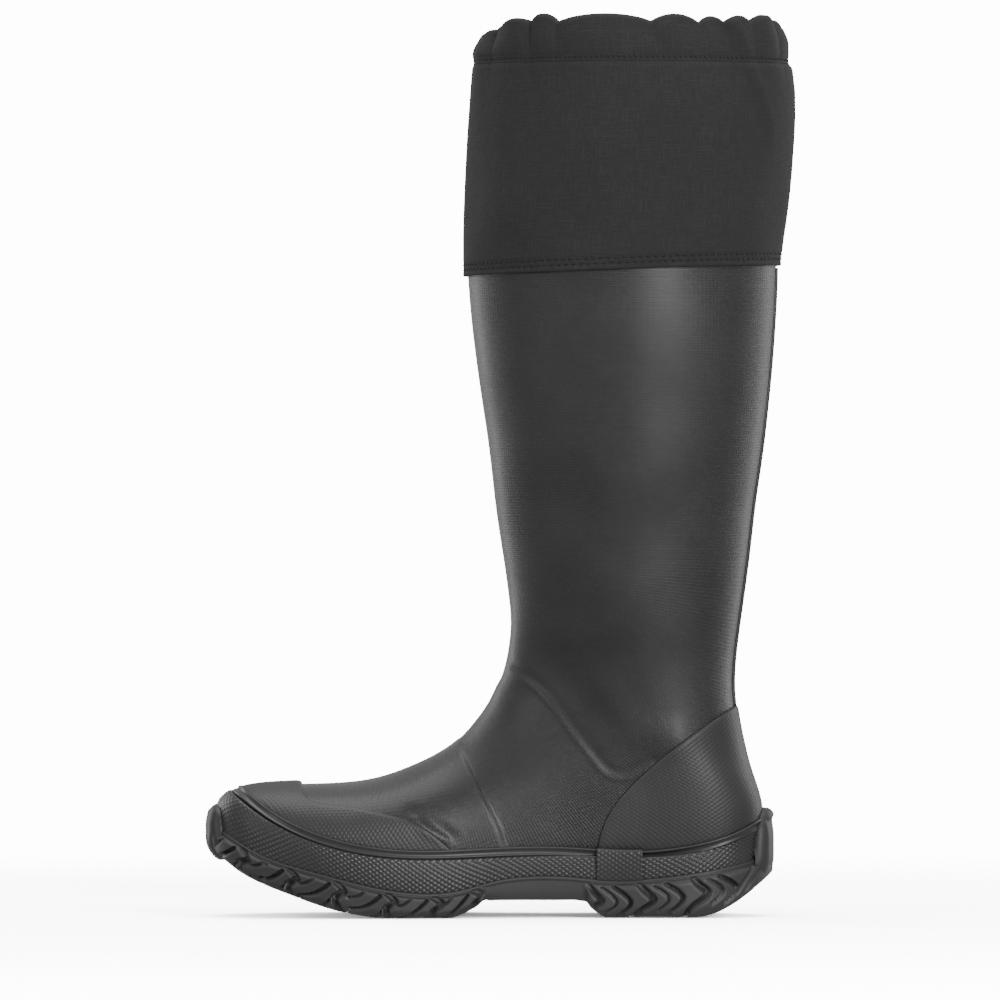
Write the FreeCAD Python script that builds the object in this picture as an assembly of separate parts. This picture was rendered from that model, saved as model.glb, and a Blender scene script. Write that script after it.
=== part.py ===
"""Tall pull-on rubber boot (right foot) with a gathered fabric gaiter collar.

Frame: +Z up, toe towards -X, heel towards +X, medial side towards -Y.
The origin is under the middle of the whole boot, on the floor. Lengths are in millimetres.

The boot body is one smooth form given by cross-sections that fan from the toe, round the
instep, to the top of the leg. Every layer of the upper is a shell of that form between two
offsets, cut into pieces by outlines drawn in side view.
"""
import FreeCAD
import Part
import functools
import math
import os

V = FreeCAD.Vector

# ---------------------------------------------------------------- driving dimensions
RUBBER = 2.2            # wall of the rubber upper
STIFFENER = 1.0         # toe puff and heel stiffener, between rubber and lining
LINING = 2.2            # textile lining, full thickness where there is no stiffener
OVERLAY = 2.0           # toe cap and heel counter, moulded over the upper
FOXING = 2.6            # textured band round the sole joint
TRIM = 3.2              # smooth strip along the top of the foxing
PATCH = 3.9             # patch over the joint in the foxing
PATCH_SEAT = 1.4        # foxing left under the patch
SOLE_EDGE = 3.6         # edge of the outsole outside the upper
LUG_EDGE = 6.0          # side lugs stand this far outside the upper
TOE_BUMPER = 8.6        # rubber tab on the toe stands this far outside the upper
HEEL_BUMPER = 6.8       # and the one on the heel
LUG_DEPTH = 4.5
LUG_STEP = 3.2          # side lugs stop this far below the top of the sole's edge
LUG_TOP = 12.5          # and at this level along the sides
LUG_WRAP = (-60.0, 100.0)        # they run up round the toe and the heel beyond these
LUG_GAP = 3.2           # between neighbouring side lugs
LUG_INNER = 15.0        # side lugs start this far from the middle
LUG_SLANT = 8.0         # and lean this far towards the toe
CHEVRON_HALF = 12.0     # middle lugs: half width, how far they point, length and spacing
CHEVRON_POINT = 9.0
CHEVRON_LENGTH = 11.0
CHEVRON_PITCH = 14.6
SOLE_BASE = 4.0         # outsole between the lugs and the midsole
MIDSOLE_X = (-112.0, 128.0)      # the midsole stops short of the toe and the heel
CUP_WALL = 6.0          # the midsole stops this far inside the upper's outline
BOARD_INSET = 12.0      # insole board inside the outline
FOOTBED = 4.2
FOOTBED_COVER = 0.8
FOOTBED_TOE = -124.0    # front of the footbed
SOCK_PLAY = 0.5         # stiffeners clear the insole board
PLAY = 0.3              # gap between bodies, and round loose pieces
SEAM_WIDTH = 12.0       # strip over the seam up the back of the leg
SEAM_PROUD = 1.4
FABRIC = 1.0            # gaiter cloth with its backing
TAPE = 14.0             # band inside the top of the leg that covers the gaiter's seam
CASING = 5.0            # folded hem over the elastic, outside to inside
CASING_PLY = 0.8
CHANNEL_FOOT = 3.0      # solid cloth below and above the channel in the casing
CHANNEL_HEAD = 2.5
ELASTIC = (432.0, 441.0)      # lowest and highest level of the elastic band
ELASTIC_DEPTH = (-1.8, -3.2)     # its outside and inside, from the outside of the casing
LEG_TOP = 336.0
CASING_BOTTOM = 425.0
CASING_TOP = 449.0
HEM_FRONT = 319.5       # lower edge of the gaiter at the shin and at the calf
HEM_BACK = 325.0
HEM_ROWS = (2.5, 5.0)   # two rows of stitches above it
ROW_WIDTH = 0.8
CASING_ROW = (1.0, 3.0)       # slanted row above the casing's foot
SLEEVE_GAP = 0.4        # between the gaiter and the casing
STITCH = 0.4            # thread stands this proud of the cloth

RING_POINTS = 32
FAR = 200.0             # beyond the boot in any direction from its middle
OVERRUN = 10.0          # a form runs on past the piece cut from it

# Cross-sections of the boot body: front point (x, z), back or sole point (x, z),
# medial and lateral half-widths, where the widest place is from front to back,
# and the roundness of the front and back halves (2 is an ellipse, more is squarer).
BODY = [
    ((-134.0, 54.5), (-134.0, 43.5), 17.0, 3.0, 0.50, 2.0, 2.0),
    ((-132.5, 59.0), (-132.5, 39.5), 22.0, 8.5, 0.55, 2.2, 2.3),
    ((-129.0, 61.5), (-129.0, 36.5), 28.0, 15.0, 0.58, 2.3, 2.8),
    ((-122.0, 63.6), (-122.0, 32.0), 34.5, 24.5, 0.62, 2.4, 3.6),
    ((-110.0, 65.0), (-110.0, 26.0), 41.0, 35.5, 0.65, 2.4, 4.4),
    ((-90.0, 65.8), (-90.0, 20.5), 46.0, 45.0, 0.66, 2.3, 5.0),
    ((-62.0, 67.8), (-62.0, 17.0), 47.2, 50.5, 0.66, 2.2, 5.0),
    ((-38.0, 75.5), (-30.0, 16.8), 44.5, 51.5, 0.66, 2.2, 5.0),
    ((-18.0, 86.5), (5.0, 18.5), 39.0, 49.5, 0.66, 2.2, 5.0),
    ((-7.5, 97.5), (38.0, 20.5), 36.0, 46.5, 0.64, 2.2, 5.0),
    ((-1.0, 107.0), (73.0, 22.0), 35.0, 43.5, 0.62, 2.2, 5.0),
    ((2.5, 114.5), (104.0, 22.5), 35.5, 41.0, 0.61, 2.2, 4.8),
    ((5.0, 120.0), (123.5, 27.0), 36.0, 39.5, 0.61, 2.2, 4.0),
    ((6.7, 125.5), (132.0, 38.0), 36.5, 38.5, 0.60, 2.2, 3.2),
    ((8.0, 131.0), (134.0, 54.0), 36.8, 38.0, 0.59, 2.2, 2.7),
    ((9.2, 138.5), (129.3, 70.5), 37.5, 38.3, 0.57, 2.1, 2.4),
    ((9.7, 147.0), (124.3, 90.0), 39.0, 39.5, 0.55, 2.1, 2.2),
    ((9.3, 156.0), (121.0, 113.0), 41.5, 41.5, 0.53, 2.05, 2.1),
    ((8.0, 167.0), (123.0, 140.0), 45.0, 45.0, 0.51, 2.0, 2.05),
    ((5.5, 182.0), (128.3, 182.0), 48.5, 48.5, 0.50, 2.0, 2.0),
    ((1.3, 215.0), (133.0, 215.0), 53.0, 53.0, 0.50, 2.0, 2.0),
    ((-4.5, 255.0), (138.0, 255.0), 57.5, 57.5, 0.50, 2.0, 2.0),
    ((-9.5, 295.0), (141.3, 295.0), 60.5, 60.5, 0.50, 2.0, 2.0),
    ((-12.2, LEG_TOP), (142.5, LEG_TOP), 62.0, 62.0, 0.50, 2.0, 2.0),
]

# The gaiter hangs outside the leg and is a little fuller than it.
GAITER = [
    ((-13.9, HEM_FRONT), (144.2, HEM_FRONT), 63.2, 63.2, 0.50, 2.0, 2.0),
    ((-13.8, 345.0), (147.2, 345.0), 64.5, 64.5, 0.50, 2.0, 2.0),
    ((-12.6, 375.0), (151.0, 375.0), 66.0, 66.0, 0.50, 2.0, 2.0),
    ((-10.8, 400.0), (152.6, 400.0), 66.5, 66.5, 0.50, 2.0, 2.0),
    ((-7.8, CASING_BOTTOM), (148.2, CASING_BOTTOM), 64.5, 64.5, 0.50, 2.0, 2.0),
]
COLLAR = [
    ((-7.8, CASING_BOTTOM), (148.2, CASING_BOTTOM), 64.5, 64.5, 0.50, 2.0, 2.0),
    ((-7.3, 434.0), (146.6, 434.0), 63.7, 63.7, 0.50, 2.0, 2.0),
    ((-7.3, 442.0), (145.8, 442.0), 63.3, 63.3, 0.50, 2.0, 2.0),
    ((-7.6, CASING_TOP), (145.4, CASING_TOP), 63.3, 63.3, 0.50, 2.0, 2.0),
]

# Outline of the upper seen from above, from the tip of the toe along the medial side,
# round the heel and back along the lateral side: (x, y).
OUTLINE = [
    (-134.2, -7.0), (-131.5, -22.5), (-124.0, -33.0), (-110.0, -41.3), (-90.0, -46.1),
    (-62.0, -47.2), (-32.0, -44.5), (-3.0, -39.3), (22.0, -36.3), (50.0, -35.2), (78.0, -35.6),
    (104.0, -34.0), (122.0, -25.5), (131.5, -13.0), (134.8, 1.0), (131.5, 15.0), (122.0, 28.0),
    (104.0, 37.0), (78.0, 41.0), (50.0, 44.0), (22.0, 47.0), (-3.0, 49.6), (-32.0, 51.6),
    (-62.0, 50.6), (-90.0, 45.2), (-110.0, 35.7), (-124.0, 22.8), (-131.5, 9.0),
]

# Side-view lines, each from beyond the toe to beyond the heel: (x, z).
SOLE_TOP_EDGE = [
    (-FAR, 88.0), (-130.0, 40.0), (-112.0, 30.3), (-90.0, 23.5), (-61.0, 16.0), (-40.0, 12.6),
    (-17.0, 13.4), (1.5, 18.2), (20.0, 20.6), (40.0, 20.2), (60.0, 18.6), (82.0, 19.6),
    (115.0, 24.4), (139.0, 30.0), (FAR, 46.0),
]
TRIM_LOWER = [
    (-FAR, 110.0), (-131.5, 63.0), (-114.0, 50.5), (-90.0, 38.6), (-58.0, 30.8), (-16.0, 29.6),
    (35.0, 31.0), (74.0, 30.0), (107.0, 33.6), (136.5, 46.0), (FAR, 74.0),
]
TRIM_UPPER = [
    (-FAR, 118.0), (-127.0, 65.3), (-108.0, 51.7), (-75.0, 38.4), (-40.0, 33.7), (0.0, 34.9),
    (40.0, 35.4), (74.0, 34.0), (99.0, 36.6), (124.0, 44.2), (136.5, 52.0), (FAR, 92.0),
]
# Where the upper is widest; above it the foxing leans in with the upper.
WIDEST = [(-FAR, 60.0), (-134.0, 48.0), (-110.0, 39.0), (-62.0, 33.0), (0.0, 36.0), (FAR, 40.0)]
# Under the footbed: the inside of the sole of the upper.
SOCK = [
    (-FAR, 70.0), (-132.0, 46.0), (-122.0, 36.4), (-110.0, 30.6), (-90.0, 25.1), (-62.0, 21.6),
    (-30.0, 21.4), (5.0, 23.1), (38.0, 25.1), (73.0, 26.6), (104.0, 27.2), (FAR, 30.0),
]

TOE_CAP_EDGE = [
    (-94.5, 90.0), (-94.6, 66.0), (-91.5, 59.5), (-75.5, 55.3), (-51.5, 51.0), (-38.0, 47.0),
    (-19.0, 33.5), (-8.0, 22.0),
]
COUNTER_EDGE = [
    (150.0, 122.0), (122.5, 105.5), (95.0, 87.5), (72.0, 68.0), (57.0, 48.5), (53.0, 35.0),
    (52.5, 20.0),
]
PUFF_EDGE = [(-98.0, 90.0), (-98.0, 64.0), (-95.0, 50.0), (-84.0, 34.0), (-76.0, 10.0)]
STIFFENER_EDGE = [(160.0, 112.0), (124.0, 97.0), (98.0, 78.0), (78.0, 58.0), (68.0, 40.0), (66.0, 20.0)]
ANKLE_LOW = [(-FAR, 89.0), (FAR, 112.0)]
ANKLE_HIGH = [(-FAR, 169.7), (FAR, 114.3)]
PATCH_X = (52.5, 75.5)
TOE_TAB = (-FAR, -126.5, -24.0, 12.0, 32.5, 53.5)       # x, y and z from and to
HEEL_TAB = (130.0, FAR, -15.0, 17.0, 24.0, 52.5)
SIDE_LUGS = [(-126.0, -104.0, -75.0, -46.0, -14.0), (49.0, 78.0, 106.0, 127.0)]
CHEVRONS = ((-116.0, 7), (58.0, 4))          # first one's x, and how many

FLAT_BALL = (-56.0, -18.0)       # the sole is flat on the floor along these stretches
FLAT_HEEL = (56.0, 106.0)
WAIST = (-2.0, 46.0)             # arch without lugs
WAIST_Z = 7.6
TOE_LUG_END = (-137.0, 31.5)
HEEL_LUG_END = (146.0, 26.0)


# ---------------------------------------------------------------- curves and regions
def ring(section):
    """Points of one closed cross-section, from the front point round the lateral side."""
    (fx, fz), (bx, bz), medial, lateral, widest, front_n, back_n = section
    middle = (lateral - medial) / 2
    half = (lateral + medial) / 2
    points = []
    for k in range(RING_POINTS):
        angle = 2 * math.pi * k / RING_POINTS
        c, s = math.cos(angle), math.sin(angle)
        n = front_n if c >= 0 else back_n
        reach = abs(c) ** (2 / n)
        u = widest - widest * reach if c >= 0 else widest + (1 - widest) * reach
        y = middle + math.copysign(half * abs(s) ** (2 / n), s)
        points.append(V(fx + (bx - fx) * u, y, fz + (bz - fz) * u))
    return points


def outward(rings, i, k):
    """Unit normal of the form at ring i, point k."""
    around = rings[i][(k + 1) % RING_POINTS] - rings[i][k - 1]
    along = rings[min(i + 1, len(rings) - 1)][k] - rings[max(i - 1, 0)][k]
    return along.cross(around).normalize()


def offset_rings(sections, distance, closed_toe):
    """Rings of the form moved out by distance, with its open ends run on past the part."""
    rings = [ring(section) for section in sections]
    moved = []
    for i, points in enumerate(rings):
        new = []
        for k, point in enumerate(points):
            n = outward(rings, i, k)
            level = V(n.x, n.y, 0).normalize() * distance
            if i == 0 and closed_toe:
                step = V(-distance, n.y * distance * 0.8, n.z * distance * 0.8)
            elif i == 0:
                step = level - V(0, 0, OVERRUN)
            elif i == len(rings) - 1:
                step = level + V(0, 0, OVERRUN)
            else:
                step = n * distance
            new.append(point + step)
        moved.append(new)
    return moved


def shared_parameters(rows):
    """Parameters from 0 to 1 that suit every row of points: their mean share of its length."""
    share = [0.0] * len(rows[0])
    for row in rows:
        length = [0.0]
        for a, b in zip(row, row[1:]):
            length.append(length[-1] + a.distanceToPoint(b))
        for k, value in enumerate(length):
            share[k] += value / length[-1] / len(rows)
    return share


def smooth_skin(rings):
    """One smooth tube through closed rings of points."""
    share = shared_parameters([points + points[:1] for points in rings])
    curves = []
    for points in rings:
        curve = Part.BSplineCurve()
        curve.interpolate(Points=points, PeriodicFlag=True, Parameters=share)
        curves.append(curve)
    columns = list(zip(*[curve.getPoles() for curve in curves]))
    rise = shared_parameters(columns)
    poles = []
    for column_points in columns:
        along = Part.BSplineCurve()
        along.interpolate(Points=list(column_points), Parameters=rise)
        poles.append(along.getPoles())
    round_knots = curves[0].getKnots()
    skin = Part.BSplineSurface()
    skin.buildFromPolesMultsKnots(
        poles, curves[0].getMultiplicities(), along.getMultiplicities(),
        round_knots, along.getKnots(), True, False, 3, 3)
    return skin


def tube(sections, distance, closed_toe):
    """Face of a form, and the closed wires at its two ends."""
    skin = smooth_skin(offset_rings(sections, distance, closed_toe))
    face = skin.toShape()
    low, high = skin.bounds()[2:]
    ends = [Part.Wire(skin.vIso(v).toShape()) for v in (low, high)]
    return face, ends


def solid_from(faces):
    shell = Part.makeShell(faces)
    shell.sewShape()
    solid = Part.makeSolid(shell)
    if solid.Volume < 0:
        solid.reverse()
    return solid


def loft(sections, distance=0.0, closed_toe=False):
    """Closed solid of a form, moved out by distance."""
    face, ends = tube(sections, distance, closed_toe)
    return solid_from([face] + [Part.Face(end) for end in ends])


def rim(outer_wire, inner_wire):
    """Flat face between two closed wires, one inside the other."""
    return Part.makeFace([outer_wire, inner_wire], "Part::FaceMakerBullseye")


def wall(sections, outer, inner, closed_toe=False):
    """Solid between a form moved out by outer and the same form moved out by inner."""
    out_face, out_ends = tube(sections, outer, closed_toe)
    in_face, in_ends = tube(sections, inner, closed_toe)
    faces = [out_face, in_face.reversed(), rim(out_ends[1], in_ends[1])]
    if closed_toe:
        faces += [Part.Face(out_ends[0]), Part.Face(in_ends[0])]
    else:
        faces.append(rim(out_ends[0], in_ends[0]))
    return solid_from(faces)


def spline(points):
    if len(points) == 2:
        return polyline([(x, 0, z) for x, z in points])[0]
    curve = Part.BSplineCurve()
    curve.interpolate([V(x, 0, z) for x, z in points])
    return curve.toShape()


def polyline(points):
    return [Part.makeLine(V(*a), V(*b)) for a, b in zip(points, points[1:])]


def extrude_side_view(edges):
    """Solid between y = -FAR and y = FAR inside a closed side-view outline."""
    wire = Part.Wire(Part.__sortEdges__(edges))
    return Part.Face(wire).extrude(V(0, 2 * FAR, 0)).translated(V(0, -FAR, 0))


def above(points, top=2.5 * FAR):
    """Everything above a side-view line."""
    (x0, z0), (x1, z1) = points[0], points[-1]
    rest = polyline([(x1, 0, z1), (x1, 0, top), (x0, 0, top), (x0, 0, z0)])
    return extrude_side_view([spline(points)] + rest)


def below(points, bottom=-FAR):
    """Everything below a side-view line."""
    (x0, z0), (x1, z1) = points[0], points[-1]
    rest = polyline([(x1, 0, z1), (x1, 0, bottom), (x0, 0, bottom), (x0, 0, z0)])
    return extrude_side_view([spline(points)] + rest)


def beside(points, side):
    """Everything to one side of a steep side-view line, such as a toe cap's edge."""
    (x0, z0), (x1, z1) = points[0], points[-1]
    edge = side * FAR
    rest = polyline([(x1, 0, z1), (x1, 0, -FAR), (edge, 0, -FAR), (edge, 0, 2 * FAR)])
    rest += polyline([(edge, 0, 2 * FAR), (x0, 0, 2 * FAR), (x0, 0, z0)])
    return extrude_side_view([spline(points)] + rest)


def between(lower, upper):
    """Everything between two side-view lines with the same ends in x."""
    (x0, low0), (x1, low1) = lower[0], lower[-1]
    ends = [Part.makeLine(V(x, 0, low), V(x, 0, high)) for x, low, high in
            ((x0, low0, upper[0][1]), (x1, low1, upper[-1][1]))]
    return extrude_side_view([spline(lower), spline(upper)] + ends)


def raised(points, lift):
    return [(x, z + lift) for x, z in points]


def column(distance, low=-20.0, high=100.0):
    """Upright block whose plan is the upper's outline moved out by distance."""
    curve = Part.BSplineCurve()
    curve.interpolate(Points=[V(x, y, low) for x, y in OUTLINE], PeriodicFlag=True)
    count = 2 * len(OUTLINE)
    first, last = curve.FirstParameter, curve.LastParameter
    points = []
    for k in range(count):
        t = first + (last - first) * k / count
        tangent = curve.tangent(t)[0]
        # The outline runs anticlockwise seen from above, so outside is to its right.
        points.append(curve.value(t) + V(tangent.y, -tangent.x, 0) * distance)
    moved = Part.BSplineCurve()
    moved.interpolate(Points=points, PeriodicFlag=True)
    return Part.Face(Part.Wire(moved.toShape())).extrude(V(0, 0, high - low))


def slab_box(x0, x1, y0, y1, z0, z1):
    return Part.makeBox(x1 - x0, y1 - y0, z1 - z0, V(x0, y0, z0))


def tread_line(lift=0.0):
    """Side view of the tread: toe spring, flat ball, arched waist, flat heel, heel bevel."""
    (bx0, bx1), (hx0, hx1), (wx0, wx1) = FLAT_BALL, FLAT_HEEL, WAIST
    toe_x, toe_z = TOE_LUG_END
    heel_x, heel_z = HEEL_LUG_END
    far_toe = V(-FAR, 0, toe_z + 38.0 + lift)
    toe = V(toe_x, 0, toe_z + lift)
    toe_curve = Part.Arc(toe, V(-102.0, 0, 12.2 + lift), V(bx0, 0, lift)).toShape()
    rise = polyline([(bx1, 0, lift), (wx0, 0, WAIST_Z + lift * 0.2), (wx1, 0, WAIST_Z + lift * 0.2),
                     (hx0, 0, lift), (hx1, 0, lift)])
    heel_curve = Part.Arc(V(hx1, 0, lift), V(130.0, 0, 12.5 + lift), V(heel_x, 0, heel_z + lift))
    flat = polyline([(bx0, 0, lift), (bx1, 0, lift)])
    ends = [Part.makeLine(far_toe, toe)]
    ends += polyline([(heel_x, 0, heel_z + lift), (FAR, 0, heel_z + 60.0 + lift)])
    edges = ends[:1] + [toe_curve] + flat + rise + [heel_curve.toShape()] + ends[1:]
    return edges, (-FAR, far_toe.z), (FAR, heel_z + 60.0 + lift)


def above_tread(lift=0.0):
    edges, (x0, z0), (x1, z1) = tread_line(lift)
    top = 2 * FAR
    return extrude_side_view(edges + polyline([(x1, 0, z1), (x1, 0, top), (x0, 0, top), (x0, 0, z0)]))


# ---------------------------------------------------------------- the boot's form
def body(distance=0.0):
    return loft(BODY, distance, closed_toe=True)


@functools.cache
def layer(outer, inner):
    """Layer of the boot body between two offsets."""
    return wall(BODY, outer, inner, closed_toe=True)


SKIN = body()
SHELL = layer(0.0, -RUBBER)
FOOT_ZONE = below(raised(ANKLE_LOW, -PLAY / 2))
ANKLE_ZONE = between(raised(ANKLE_LOW, PLAY / 2), raised(ANKLE_HIGH, -PLAY / 2))
LEG_ZONE = between(raised(ANKLE_HIGH, PLAY / 2), [(-FAR, LEG_TOP), (FAR, LEG_TOP)])


# ---------------------------------------------------------------- sole
def lug_plan(points):
    """Upright prism over a plan polygon."""
    wire = Part.makePolygon([V(x, y, -10) for x, y in points + points[:1]])
    return Part.Face(wire).extrude(V(0, 0, 90))


def side_lugs():
    """Blocks along both edges of the sole, each slanted towards the toe."""
    lugs = []
    for side in (-1, 1):
        for row in SIDE_LUGS:
            for x0, x1 in zip(row, row[1:]):
                a, b = x0 + LUG_GAP / 2, x1 - LUG_GAP / 2
                near, mid, far = side * LUG_INNER, side * 2 * LUG_INNER, side * FAR / 2
                lugs.append(lug_plan([
                    (a, near), (b, near), (b - LUG_SLANT / 2, mid), (b - LUG_SLANT, far),
                    (a - LUG_SLANT, far), (a - LUG_SLANT / 2, mid),
                ]))
    return lugs


def centre_lugs():
    """Chevrons down the middle of the ball and of the heel."""
    half, point, length = CHEVRON_HALF, CHEVRON_POINT, CHEVRON_LENGTH
    lugs = []
    for first, count in CHEVRONS:
        for k in range(count):
            x = first + CHEVRON_PITCH * k
            lugs.append(lug_plan([
                (x, 0), (x + point, -half), (x + point + length, -half), (x + length, 0),
                (x + point + length, half), (x + point, half),
            ]))
    return lugs


def make_outsole(midsole):
    tray = column(SOLE_EDGE).common(above_tread(LUG_DEPTH)).common(below(SOLE_TOP_EDGE))
    toe_wrap, heel_wrap = LUG_WRAP
    wrap = [(-FAR, 0, -1), (-FAR, 0, FAR), (toe_wrap, 0, FAR), (toe_wrap, 0, LUG_TOP),
            (heel_wrap, 0, LUG_TOP), (heel_wrap, 0, FAR), (FAR, 0, FAR), (FAR, 0, -1), (-FAR, 0, -1)]
    lug_zone = column(LUG_EDGE).common(above_tread()).common(below(raised(SOLE_TOP_EDGE, -LUG_STEP)))
    lug_zone = lug_zone.common(extrude_side_view(polyline(wrap)))
    blocks = lug_zone.common(Part.makeCompound(side_lugs() + centre_lugs()))
    toe_tab = column(TOE_BUMPER).common(slab_box(*TOE_TAB))
    heel_tab = column(HEEL_BUMPER).common(slab_box(*HEEL_TAB))
    overlays = layer(OVERLAY + PLAY, 0.0).common(above(raised(TRIM_UPPER, -PLAY)))
    outsole = tray.fuse([blocks, toe_tab, heel_tab])
    outsole = outsole.cut([column(FOXING).common(above(SOLE_TOP_EDGE)), midsole, overlays, SKIN])
    return outsole.removeSplitter()


def make_midsole():
    block = column(-CUP_WALL).common(above_tread(LUG_DEPTH + SOLE_BASE))
    block = block.common(slab_box(*MIDSOLE_X, -FAR, FAR, 0, 60.0))
    return largest(block.common(below(WIDEST)).cut(SKIN))


def largest(shape):
    return max(shape.Solids, key=lambda solid: solid.Volume)


# ---------------------------------------------------------------- upper
def make_overlays():
    over_trim = above(TRIM_UPPER)
    edges = ((TOE_CAP_EDGE, -1), (COUNTER_EDGE, 1))
    return [largest(layer(OVERLAY, 0.0).common(over_trim.common(beside(*edge)))) for edge in edges]


def make_foxing(outsole, midsole):
    leaning = above(WIDEST).cut(body(SOLE_EDGE))
    band = column(FOXING).common(between(SOLE_TOP_EDGE, TRIM_LOWER))
    band = largest(band.cut([leaning, SKIN, midsole, outsole]))
    strip = layer(TRIM, 0.0).common(between(TRIM_LOWER, TRIM_UPPER))
    x0, x1 = PATCH_X
    window = slab_box(x0, x1, -FAR, 0, 0, 60.0)
    patch = column(PATCH).cut(column(PATCH_SEAT)).common(window)
    patch = largest(patch.common(between(SOLE_TOP_EDGE, TRIM_UPPER)).cut([SKIN, outsole]))
    return largest(band.cut(patch)), largest(strip.cut(patch)), patch


def make_stiffeners():
    gap = layer(-RUBBER, -RUBBER - STIFFENER)
    over_sock = above(raised(SOCK, SOCK_PLAY))
    puff = largest(gap.common(over_sock.common(beside(PUFF_EDGE, -1))))
    stiffener = largest(gap.common(over_sock.common(beside(STIFFENER_EDGE, 1))))
    return puff, stiffener


def make_upper(nodes):
    lining = layer(-RUBBER, -RUBBER - LINING)
    foot = SHELL.common(FOOT_ZONE)
    board = largest(foot.common(column(-BOARD_INSET)).common(below(WIDEST)))
    nodes["insole_board"] = board
    nodes["foot_upper"] = largest(foot.cut(board))
    puff, stiffener = make_stiffeners()
    nodes["toe_puff"] = puff
    nodes["heel_stiffener"] = stiffener
    nodes["foot_lining"] = largest(lining.common(FOOT_ZONE).cut([puff, stiffener]))
    nodes["ankle_rubber"] = largest(SHELL.common(ANKLE_ZONE))
    outside_ankle = [below(raised(ANKLE_LOW, PLAY / 2)), above(raised(ANKLE_HIGH, -PLAY / 2))]
    nodes["ankle_lining"] = largest(lining.cut(outside_ankle))
    nodes["leg_shell"] = largest(SHELL.common(LEG_ZONE))
    nodes["leg_lining"] = largest(lining.common(LEG_ZONE))
    nodes["toe_cap"], nodes["heel_counter"] = make_overlays()


def make_footbed(nodes):
    bed = body(-RUBBER - LINING - PLAY)
    foam_top = raised(SOCK, PLAY + FOOTBED)
    cover_top = raised(SOCK, PLAY + FOOTBED + FOOTBED_COVER)
    front = slab_box(FOOTBED_TOE, FAR, -FAR, FAR, 0, 60.0)
    nodes["footbed_foam"] = largest(bed.common(below(foam_top).common(front)))
    nodes["footbed_cover"] = largest(bed.common(between(foam_top, cover_top).common(front)))


# ---------------------------------------------------------------- leg and gaiter
def make_back_seam():
    half = SEAM_WIDTH / 2
    run = slab_box(90.0, FAR, -half, half, 0, HEM_FRONT - 1.0).common(LEG_ZONE)
    return largest(layer(SEAM_PROUD, 0.0).common(run))


def level_zone(low, high):
    return slab_box(-FAR, FAR, -FAR, FAR, low, high)


def hem_line(lift):
    """Side view of the gaiter's lower edge, moved up by lift."""
    x0, x1 = GAITER[0][0][0], GAITER[0][1][0]
    slope = (HEM_BACK - HEM_FRONT) / (x1 - x0)
    return [(x, HEM_FRONT + (x - x0) * slope + lift) for x in (-FAR, FAR)]


def make_gaiter(nodes):
    top = CASING_BOTTOM - SLEEVE_GAP
    sleeve_zone = between(hem_line(0.0), [(-FAR, top), (FAR, top)])
    nodes["gaiter_sleeve"] = largest(wall(GAITER, 0.0, -FABRIC).common(sleeve_zone))
    proud = wall(GAITER, STITCH, 0.0)
    rows = [largest(proud.common(between(hem_line(z), hem_line(z + ROW_WIDTH)))) for z in HEM_ROWS]
    nodes["hem_stitch_rows"] = Part.makeCompound(rows)
    tape_zone = level_zone(LEG_TOP - TAPE, LEG_TOP + TAPE)
    nodes["inner_seam_tape"] = largest(nodes["leg_lining"].common(tape_zone))
    nodes["leg_lining"] = largest(nodes["leg_lining"].cut(tape_zone))


def make_collar(nodes):
    casing = wall(COLLAR, 0.0, -CASING).common(level_zone(CASING_BOTTOM, CASING_TOP))
    channel = wall(COLLAR, -CASING_PLY, CASING_PLY - CASING)
    channel = channel.common(level_zone(CASING_BOTTOM + CHANNEL_FOOT, CASING_TOP - CHANNEL_HEAD))
    nodes["collar_casing"] = largest(casing.cut(channel))
    nodes["elastic_band"] = largest(wall(COLLAR, *ELASTIC_DEPTH).common(level_zone(*ELASTIC)))
    row_from, row_to = CASING_ROW
    row = wall(COLLAR, STITCH, 0.0).common(level_zone(CASING_BOTTOM + row_from, CASING_BOTTOM + row_to))
    nodes["casing_stitch_row"] = largest(row)


def main():
    nodes = {}
    nodes["midsole"] = make_midsole()
    nodes["outsole"] = make_outsole(nodes["midsole"])
    foxing, strip, patch = make_foxing(nodes["outsole"], nodes["midsole"])
    nodes["foxing_band"] = foxing
    nodes["foxing_trim"] = strip
    nodes["foxing_joint_patch"] = patch
    make_upper(nodes)
    make_footbed(nodes)
    nodes["back_seam_strip"] = make_back_seam()
    make_gaiter(nodes)
    make_collar(nodes)

    box = Part.makeCompound(list(nodes.values())).optimalBoundingBox()
    shift = V(-box.Center.x, -box.Center.y, -box.ZMin)
    print("shift", shift, "size", box.XLength, box.YLength, box.ZLength)
    os.makedirs("parts", exist_ok=True)
    for name, shape in nodes.items():
        placed = shape.translated(shift)
        state = f"solids {len(placed.Solids)} valid {placed.isValid()} cm3 {placed.Volume / 1000:.2f}"
        print(f"{name:22s} {state}")
        placed.exportStep(f"parts/{name}.step")


main()
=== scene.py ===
import math
from math import pi

import bmesh
import bpy
import numpy as np
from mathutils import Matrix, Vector
from mathutils.bvhtree import BVHTree

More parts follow.
